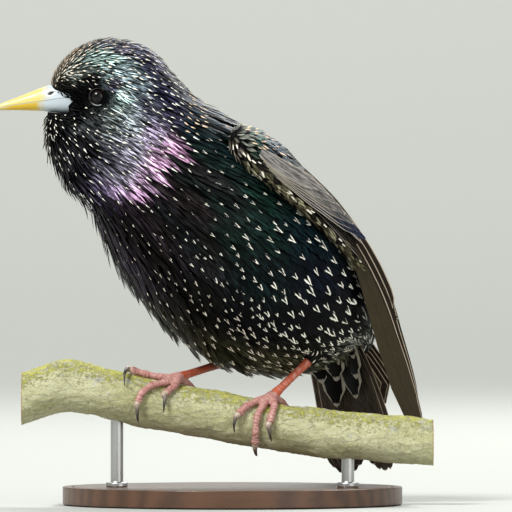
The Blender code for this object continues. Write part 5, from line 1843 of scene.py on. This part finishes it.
    def coverts(self) -> Flock:
        """Small feathers all over the wing's flesh."""
        rng = self.model.rng
        form = WingCoreForm(self.form)
        count = 9000
        station = rng.uniform(-5, 62, count)
        angle = rng.uniform(0, 360, count)
        keep = (np.sin(np.radians(angle)) < 0.1) | (station < 20)
        station, angle = station[keep], angle[keep]
        kept = scatter(form.point(station, angle), np.full(len(station), 1.35))
        station, angle = station[kept], angle[kept]
        up = np.sin(np.radians(angle))
        length = np.interp(station, (-5, 10, 60), (3.2, 4.6, 6)) * rng.uniform(0.85, 1.15, len(station))
        track = form.track(station, angle, length, rng.normal(0, 9, len(station)), CONTOUR.rows)
        centre = (form.point(track.station, track.angle) + form.point(track.station, track.angle + 180)) / 2
        sign = np.sign(((track.path - centre) * track.normal).sum(-1))[..., None]
        lift = 0.3 + rng.random(len(station)) ** 2 * 0.6
        track.normal = track.normal * sign
        track = track.raised(-0.3, lift)
        teal, brown = toned(16, 42, 54, 0.3, 0.4), toned(98, 92, 72, 0.05, 0.5)
        mint, fuzz = toned(62, 92, 80, 0.2, 0.45), toned(150, 142, 132, 0, 0.6)
        pale, dark = toned(158, 152, 126, 0, 0.6), toned(30, 26, 23, 0, 0.5)
        chance = rng.random(len(station))[:, None]
        mottle = np.where(chance < 0.3, pale, np.where(chance < 0.62, dark, brown))
        share = ease((up - 0.25) / 0.35)[:, None] * ease((24 - station) / 8)[:, None]
        near = ease((6 - station) / 4)[:, None]
        tone = mottle * (1 - share) + (teal * (1 - near) + mint * near) * share
        tone = np.where(station[:, None] < rng.normal(0, 2, (len(station), 1)), fuzz * 0.5 + tone * 0.5, tone)
        marked = rng.random(len(station)) < np.where(up > -0.1, 0.3, 0.1)
        size = np.where(marked, rng.uniform(0.5, 1, len(station)), 0)
        half = np.interp(station, (-5, 10, 60), (0.6, 0.85, 1.1)) * rng.uniform(0.8, 1.2, len(station))
        tint = 0.15 + 0.5 * share[:, 0]
        patch = np.stack((0.03 + 0.94 * (station + 5) / 75, 0.03 + 0.94 * (angle % 360) / 360), -1)
        return Flock(CONTOUR, track, half, tone, size, Mark.TIP, tint, 0.9, patch, vary=0.4)

    def build(self) -> None:
        """Make flesh and feathers of the wing."""
        form = WingCoreForm(self.form, 0.9)
        turn = np.arange(28) * 360 / 28
        rings = [form.point(np.full(28, row), turn) for row in np.linspace(-4.2, 69, 40)]
        self.model.flesh(self.model.bench.sections("flesh_" + self.name, rings), (26, 24, 24), self.name)
        flocks = [self.primaries(), *self.rows()] + ([self.veil()] if self.rolled else [])
        self.model.feathers("quills_" + self.name, flocks)
        self.model.feathers("coverts_" + self.name, [self.coverts()])


@dataclass
class TailPart:
    """Tail: flesh, rectrices and the coverts over and under them."""

    model: Model
    form: TailForm
    tips: tuple[float, ...] = (49.6, 51.6, 53.4, 54.2, 53.6, 51.6)

    def rectrices(self) -> Flock:
        """Twelve tail feathers, the middle pair uppermost on the back."""
        place = np.arange(2 * len(self.tips)) - len(self.tips) + 0.5
        rank = np.abs(place)
        start = np.stack((np.full(len(place), 3), place * 1.7), -1)
        end = np.stack((np.array(self.tips)[rank.astype(int)], place * 2.6), -1)
        rise = np.stack((0.36 * rank, 0.52 * rank + np.where(place > 0, 0.3, 0)), -1)
        track = self.form.track(start, end, rise, ROUND.rows)
        tone = toned(74, 66, 58, 0.05, 0.45)
        patch = np.stack((0.1 + 0.06 * np.arange(len(place)), np.full(len(place), 0.2)), -1)
        return Flock(ROUND, track, 4.5, tone, 0.5, Mark.RIM, 0.45, 0.5, patch, 0.85, 0.02)

    def row(self, count: int, roots: Rows, tips: Rows, rises: Row, half: float, rim: float, tint: float,
            level: float) -> Flock:
        """A row of coverts on the tail."""
        end = spread(tips, count) + self.model.rng.normal(0, 0.3, (count, 2))
        rise = np.tile(np.array(rises), (count, 1)) + np.abs(np.linspace(-1, 1, count))[:, None] * 0.2
        track = self.form.track(spread(roots, count), end, rise, COVERT.rows)
        patch = np.stack((0.05 + 0.9 * np.arange(count) / count, np.full(count, level)), -1)
        black = toned(8, 8, 7, 0.05, 0.5)
        return Flock(COVERT, track, half, black, rim, Mark.RIM, tint, 0.6, patch, 0.8, 0.012)

    def build(self) -> None:
        """Make flesh and feathers of the tail."""
        rings = []
        for along, half, upper, under in ((-6, 9, -5, 5), (0, 10.5, -3.6, 4.4), (6, 10.5, -2.6, 3.8),
                                          (12, 9, -1.4, 2.8), (17, 6, -0.2, 1.6)):
            turn = np.arange(24) * math.pi / 12
            rise = (upper + under) / 2 + (under - upper) / 2 * np.sin(turn)
            rings.append(self.form.place(np.full(24, along), half * np.cos(turn), rise)[0])
        self.model.flesh(self.model.bench.sections("flesh_tail", rings), (22, 21, 21), "tail")
        # Three rows over the under side, the longest first, and one on the back
        covers = (
            (2, ((-1, -2.8), (-1, 3.4)), ((29, -4.2), (27, 5.6)), (2.3, 3.9), 5.4, 1.5, 0.12),
            (3, ((-1, -6.6), (-1, 6.6)), ((20.5, -8.6), (20, 8.4)), (3, 4.6), 5, 1.5, 0.12),
            (4, ((-1, -8.6), (-1, 8.6)), ((12.5, -10.4), (12.5, 10.4)), (3.6, 5.2), 3.8, 1.3, 0.1),
            (5, ((-1, -6), (-1, 6)), ((24, -7.5), (24, 7.5)), (-1, -1.5), 3.4, 0.6, 0.3),
        )
        rows = [self.rectrices()]
        for number, cover in enumerate(covers):
            rows.append(self.row(*cover, 0.4 + 0.1 * number))
        self.model.feathers("quills_tail", rows)


@dataclass
class Bill:
    """Both halves of the bill, with nostrils."""

    model: Model
    squareness: float = 0.75
    steps: int = 26
    sides: int = 24
    gap: float = 0.12
    nostril_place: Triple = (-55.4, 3.5, 142.2)
    nostril_radii: Triple = (1.7, 0.9, 0.8)

    def rings(self, low: int, high: int) -> list[Array]:
        """Sections between two of the bill's edges: 1 culmen, 2 cutting edge, 3 lower edge."""
        rows = spline(np.array(BILL_STATIONS), np.linspace(0, len(BILL_STATIONS) - 1, self.steps))
        made = []
        half = self.sides // 2
        for row in rows:
            x, width = row[0], row[4]
            top = row[low] - (self.gap if low == 2 else 0)
            bottom = row[high] + (self.gap if high == 2 else 0)
            flat, far = (bottom, top) if high == 2 else (top, bottom)
            turn = np.linspace(0, math.pi, half + 1)
            across = np.sign(np.cos(turn)) * np.abs(np.cos(turn)) ** self.squareness
            rise = flat + (far - flat) * np.sin(turn)
            outer = np.stack((np.full(half + 1, x), HEAD_Y + width * across, rise), -1)
            inner_y = np.linspace(-width, width, half + 1)[1:-1] * 0.98
            dip = (far - flat) * 0.06 * (1 - (inner_y / width) ** 2)
            inner = np.stack((np.full(half - 1, x), HEAD_Y + inner_y, flat + dip), -1)
            made.append(np.concatenate((outer, inner)))
        return made

    def build(self) -> None:
        """Make both halves."""
        bench = self.model.bench
        upper = bench.sections("bill_top", self.rings(1, 2))
        for side in (1, -1):
            bench.deselect()
            x, y, z = self.nostril_place
            bpy.ops.mesh.primitive_uv_sphere_add(segments=24, ring_count=14, radius=MM,
                                                 location=(x * MM, (HEAD_Y - side * y) * MM, z * MM))
            cutter = bpy.context.object
            cutter.scale = self.nostril_radii
            cutter.rotation_euler = (0, math.radians(-16), 0)
            bpy.ops.object.transform_apply(location=True, rotation=True, scale=True)
            bench.modify(upper, "BOOLEAN", object=cutter, operation="DIFFERENCE", solver="EXACT")
            bpy.data.objects.remove(cutter, do_unlink=True)
        bench.done(upper, 40)
        dress(upper, self.model.finishes.bill, "bill", ("bill_upper",))
        lower = bench.sections("bill_bottom", self.rings(2, 3))
        bench.done(lower, 40)
        dress(lower, self.model.finishes.bill, "bill", ("bill_lower",))


@dataclass
class Eyes:
    """Eyes and the lids round them."""

    model: Model
    offset: float = 9.3
    radius: float = 3.1
    lid_offset: float = 11.3
    lid_radius: float = 3.05
    lid_thick: float = 0.2

    def build(self) -> None:
        """Make both eyes with their lids."""
        bench = self.model.bench
        for name, side in (("left", 1), ("right", -1)):
            bench.deselect()
            centre = (EYE_X * MM, (HEAD_Y - side * self.offset) * MM, EYE_Z * MM)
            bpy.ops.mesh.primitive_uv_sphere_add(segments=48, ring_count=24, radius=self.radius * MM,
                                                 location=centre, rotation=(math.pi / 2, 0, 0))
            eye = bench.start("eyeball_" + name)
            bench.done(eye, 180)
            dress(eye, self.model.finishes.eye, "eye", ("eye_" + name,))
            bench.deselect()
            ring = (EYE_X * MM, (HEAD_Y - side * self.lid_offset) * MM, EYE_Z * MM)
            bpy.ops.mesh.primitive_torus_add(
                location=ring, rotation=(math.pi / 2, 0, 0), major_segments=56, minor_segments=12,
                major_radius=self.lid_radius * MM, minor_radius=self.lid_thick * MM)
            lid = bench.start("lid_" + name)
            bpy.ops.mesh.select_all(action="SELECT")
            bpy.ops.transform.resize(value=(1, 1.9, 0.96))
            bench.done(lid, 180)
            dress(lid, self.model.finishes.lid, "plumage")


@dataclass
class Leg:
    """One leg below its feathered shin: tarsus, toes and claws."""

    model: Model
    side: str
    tarsus: Rows = ((0, 1.75), (0.12, 1.55), (0.4, 1.4), (0.78, 1.45), (0.94, 1.85), (1.04, 1.4))
    toe_radius: float = 1.12
    claw_radii: tuple[float, ...] = (1.1, 1.12, 1, 0.8, 0.56, 0.32, 0.1)
    voxel: float = 0.24

    def toe(self, palm: Array, places: Rows) -> tuple[Array, Array]:
        """Centre line and radii of a toe."""
        points = [palm]
        for i, place in enumerate(places):
            lift = self.toe_radius * (0.8 if i < len(places) - 1 else 1.3)
            points.append(self.model.branch.place(*place, lift))
        joints = len(points) - 1
        at = np.linspace(0, joints, 9 * joints + 1)
        swell = 1.2 - 0.12 * at / joints + 0.12 * np.cos(2 * np.pi * at)
        swell += 0.2 * np.exp(-((at - joints + 0.25) / 0.3) ** 2) + 0.5 * np.exp(-(at / 0.5) ** 2)
        return spline(np.array(points), at), self.toe_radius * swell

    def build(self) -> None:
        """Make the leg and its claws."""
        bench = self.model.bench
        top, palm = self.model.branch.foot(self.side)
        shares = np.linspace(0, 1.04, 22)
        radii = np.interp(shares, *np.array(self.tarsus).T)
        line = top[None] * (1 - shares[:, None]) + palm[None] * shares[:, None]
        limbs = [("tarsus", TubeForm(line, radii))]
        pieces = []
        for name, (places, claw) in TOES[self.side].items():
            path, widths = self.toe(palm, places)
            limbs.append((name, TubeForm(path, widths)))
            self.claw(name, path, claw)
        for name, form in limbs:
            turn = np.arange(18) * 20
            rows = np.linspace(0, form.span[1], max(int(form.span[1] / 0.8), 6))
            pieces.append(bench.sections(name, [form.point(np.full(18, row), turn) for row in rows]))
        obj = bench.join("leg_" + self.side, pieces)
        bench.modify(obj, "REMESH", mode="VOXEL", voxel_size=self.voxel * MM, use_smooth_shade=True)
        bench.modify(obj, "SMOOTH", factor=0.5, iterations=4)
        self.scales(obj, limbs)
        bench.done(obj, 180)
        nodes = ["tarsus_" + self.side] + [f"toe_{self.side}_{name}" for name in TOES[self.side]]
        dress(obj, self.model.finishes.leg, "leg_skin", nodes)

    def scales(self, obj: Piece, limbs: Sequence[tuple[str, TubeForm]]) -> None:
        """Press scutes into the skin and note them for its colour."""
        places = coordinates(obj)
        best = np.full(len(places), 1e9)
        along, kind = np.zeros(len(places)), np.zeros(len(places))
        for name, form in limbs:
            rows = np.linspace(0, form.span[1], 80)
            line = form.read(form.path, rows)
            reach = np.interp(rows, form.lengths, form.radii)
            apart = np.linalg.norm(places[:, None] - line[None], axis=-1) - reach[None]
            nearest = apart.argmin(1)
            value = apart[np.arange(len(places)), nearest]
            closer = value < best
            best = np.where(closer, value, best)
            along = np.where(closer, rows[nearest], along)
            kind = np.where(closer, 0 if name == "tarsus" else 1, kind)
        pitch = np.where(kind > 0.5, 1.15, 2.6)
        uneven = np.array([noise.noise(Vector(place) * 0.45) for place in places.tolist()])
        phase = (along / pitch + 0.9 * uneven) % 1
        groove = np.exp(-((np.minimum(phase, 1 - phase) * pitch / 0.16) ** 2))
        normals = np.empty(len(places) * 3)
        obj.data.vertices.foreach_get("normal", normals)
        depth = groove * np.where(kind > 0.5, 0.16, 0.07)
        set_coordinates(obj, places - normals.reshape(-1, 3) * depth[:, None])
        height = np.exp(-(((phase - 0.22) * pitch / 0.3) ** 2))
        store(obj, "limb", np.stack((height, groove, kind, np.ones(len(places))), -1))

    def claw(self, name: str, path: Array, places: Rows) -> None:
        """A curved claw on the end of a toe."""
        branch = self.model.branch
        ahead = unit(path[-1] - path[-2])
        points = [path[-1] - ahead * 0.4, path[-1] + ahead * 1.1, *[branch.place(*place) for place in places]]
        at = np.linspace(0, len(points) - 1, 20)
        line = spline(np.array(points), at)
        radii = np.interp(np.linspace(0, 1, 20), np.linspace(0, 1, len(self.claw_radii)), self.claw_radii)
        form = TubeForm(line, radii)
        turn = np.arange(16) * 22.5
        rows = form.lengths
        obj = self.model.bench.sections(f"nail_{self.side}_{name}",
                                        [form.point(np.full(16, row), turn) for row in rows])
        tree = np.linalg.norm(coordinates(obj)[:, None] - line[None], axis=-1).argmin(1)
        store(obj, "limb", tree / (len(line) - 1))
        self.model.bench.done(obj, 180)
        dress(obj, self.model.finishes.claw, "claw", (f"claw_{self.side}_{name}",))


@dataclass
class Perch:
    """The cut branch that the bird grips."""

    model: Model
    steps: int = 230
    sides: int = 84

    def build(self) -> None:
        """Make the branch with rough bark and sawn ends."""
        form, bench = self.model.branch, self.model.bench
        low, high = BRANCH_LINE[0][0], BRANCH_LINE[-1][0]
        degrees = np.arange(self.sides) * 360 / self.sides
        columns = np.linspace(low, high, self.steps)
        rings = []
        for x in columns:
            spots = form.place(np.full(self.sides, x), degrees, 0)
            rise = np.array([self.relief(Vector(spot)) for spot in spots])
            rings.append(form.place(np.full(self.sides, x), degrees, rise))
        obj = bench.sections("perch", rings)
        places = coordinates(obj)
        crest = np.clip((places[:, 2] - form.centre(places[:, 0])[:, 2]) / 9, -1, 1)
        store(obj, "crest", crest)
        ends = ((places[:, 0] < low + 0.01) | (places[:, 0] > high - 0.01)) * 1
        store(obj, "sawn", ends)
        bench.done(obj, 60)
        dress(obj, self.model.finishes.bark, "bark", ("stand_perch",))

    def relief(self, spot: Vector) -> float:
        """Height of the bark's roughness at a place."""
        stretched = Vector((spot.x * 0.35, spot.y, spot.z))
        coarse = noise.fractal(stretched * 0.28, 0.9, 2, 4)
        fine = noise.fractal(stretched * 1.3, 0.8, 2.1, 3)
        grit = noise.noise(spot * 3.1)
        ridge = 1 - abs(noise.noise(Vector((spot.x * 0.9, spot.y * 0.3, spot.z * 0.3)) * 0.9))
        return -0.3 + 0.34 * coarse + 0.2 * fine + 0.08 * grit + 0.22 * (ridge - 0.8)


@dataclass
class Stand:
    """Round base and the two rods that carry the branch."""

    model: Model
    base_radius: float = 59
    base_height: float = 6
    base_x: float = 7
    rod_radius: float = 2.2
    rod_places: tuple[float, float] = (-33, 47)

    def build(self) -> None:
        """Make base and rods."""
        bench = self.model.bench
        bench.deselect()
        bpy.ops.mesh.primitive_cylinder_add(
            vertices=128, radius=self.base_radius * MM, depth=self.base_height * MM,
            location=(self.base_x * MM, 0, self.base_height / 2 * MM))
        base = bench.start("base")
        self.raise_top(base, ((3, -0.6), (0.7, 0.6)), 0.7, 4)
        dress(base, self.model.finishes.board, "stand_board", ("stand_base",))
        for name, x in zip(("left", "right"), self.rod_places):
            self.rod(name, x)

    def raise_top(self, obj: Piece, steps: Rows, width: float, segments: int) -> None:
        """Inset and raise the top in steps, then round the edges.

        Args:
            obj: the turned piece, in edit mode.
            steps: inset and rise of each step.
            width: of the rounding.
            segments: of the rounding.
        """
        bench = self.model.bench
        bpy.ops.mesh.select_mode(type="FACE")
        bpy.ops.mesh.select_all(action="DESELECT")
        work = bmesh.from_edit_mesh(obj.data)
        for face in work.faces:
            face.select = face.normal.z > 0.9
        bmesh.update_edit_mesh(obj.data)
        for inset, rise in steps:
            bpy.ops.mesh.inset(thickness=inset * MM, depth=0)
            bpy.ops.mesh.extrude_region_move(TRANSFORM_OT_translate={"value": (0, 0, rise * MM)})
        bench.done(obj, 30)
        bench.modify(obj, "BEVEL", width=width * MM, segments=segments, limit_method="ANGLE",
                     angle_limit=math.radians(40))
        bench.done(obj, 30)

    def rod(self, name: str, x: float) -> None:
        """A rod with a collar where it meets the base."""
        bench = self.model.bench
        centre = self.model.branch.centre(np.array(x))
        top = float(centre[2]) - 6
        low = self.base_height + 0.05
        bench.deselect()
        bpy.ops.mesh.primitive_cylinder_add(vertices=48, radius=(self.rod_radius + 1.6) * MM, depth=1.6 * MM,
                                            location=(x * MM, float(centre[1]) * MM, (low + 0.8) * MM))
        rod = bench.start("rod_" + name)
        self.raise_top(rod, ((1.6, top - low - 1.6),), 0.35, 3)
        dress(rod, self.model.finishes.metal, "stand_metal", ("stand_rod_" + name,))


@dataclass
class Studio:
    """Pale floor, soft lights and the camera of the photograph's view."""

    finishes: Finishes
    view_width: float = 176.55
    view_centre: tuple[float, float] = (15.17, 86.05)
    distance: float = 3000
    subject: float = 22

    def build(self) -> None:
        """Set the stage."""
        bpy.ops.object.select_all(action="DESELECT")
        bpy.ops.mesh.primitive_plane_add(size=14, location=(0, 0, -0.0004))
        floor = Bench().start("floor")
        bpy.ops.mesh.select_mode(type="EDGE")
        bpy.ops.mesh.select_all(action="DESELECT")
        self.choose(floor, lambda edge: min(vert.co.y for vert in edge.verts) > 6.9)
        bpy.ops.mesh.extrude_region_move(TRANSFORM_OT_translate={"value": (0, 0, 6)})
        bpy.ops.mesh.select_all(action="DESELECT")
        self.choose(floor, lambda edge: min(vert.co.y for vert in edge.verts) > 6.9
                    and max(vert.co.z for vert in edge.verts) < 0.1)
        bpy.ops.mesh.bevel(offset=4, segments=32)
        Bench().done(floor, 60)
        floor.data.materials.append(self.finishes.floor)
        bird = (0, 0, 0.09)
        self.light("key", (-1.2, -1.7, 2.1), bird, 0.8, 95)
        self.light("fill", (1.6, -1.8, 0.8), bird, 1.6, 16)
        self.light("back", (0.8, 1.4, 1.6), bird, 0.9, 40)
        self.light("sweep", (0, 4.4, 3.2), (0, 4.6, 0), 3.4, 108)
        bpy.context.scene.view_settings.view_transform = "Standard"
        world = bpy.context.scene.world or bpy.data.worlds.new("studio")
        bpy.context.scene.world = world
        world.use_nodes = True
        sky = world.node_tree.nodes["Background"]
        sky.inputs["Color"].default_value = (0.9, 0.94, 0.92, 1)
        sky.inputs["Strength"].default_value = 0.5
        eye = bpy.data.cameras.new("camera")
        eye.sensor_width = 36
        eye.lens = 36 * (self.distance - self.subject) / self.view_width
        eye.clip_start, eye.clip_end = 0.1, 50
        camera = bpy.data.objects.new("camera", eye)
        bpy.context.scene.collection.objects.link(camera)
        camera.location = (self.view_centre[0] * MM, -self.distance * MM, self.view_centre[1] * MM)
        camera.rotation_euler = (math.pi / 2, 0, 0)
        bpy.context.scene.camera = camera

    def choose(self, floor: Piece, test: Callable[[Any], bool]) -> None:
        """Select the edges of the floor that pass a test."""
        work = bmesh.from_edit_mesh(floor.data)
        for edge in work.edges:
            edge.select = test(edge)
        bmesh.update_edit_mesh(floor.data)

    def light(self, name: str, place: Row, target: Row, size: float, power: float) -> None:
        """A square soft light aimed at a place."""
        lamp = bpy.data.lights.new(name, "AREA")
        lamp.size = size
        lamp.energy = power
        obj = bpy.data.objects.new(name, lamp)
        bpy.context.scene.collection.objects.link(obj)
        obj.location = place
        aim = Vector(target) - Vector(place)
        obj.rotation_euler = aim.to_track_quat("-Z", "Y").to_euler()


def main() -> None:
    """Build every sub-assembly in order."""
    logging.basicConfig(level=logging.INFO, format="%(name)s: %(message)s")
    rng = np.random.default_rng(SEED)
    body = BodyForm()
    model = Model(body, BranchForm(), PlumageMap(), Finishes(), Bench(), Weaver(rng), rng)
    Skin(model).build()
    Coat(model).build()
    WingPart(model, WingForm(body, (9.7, -36.5, 119.8), (76.6, 19, 26.4), 9.5, (36, 76), 1),
             "wing_left", 84).build()
    WingPart(model, WingForm(body, (-22, 11, 115.6), (57.5, 54, 30), 6, (14, 40), -1),
             "wing_right").build()
    TailPart(model, TailForm()).build()
    Bill(model).build()
    Eyes(model).build()
    for side in FEET:
        Leg(model, side).build()
    Perch(model).build()
    Stand(model).build()
    Studio(model.finishes).build()


if __name__ == "__main__":
    main()
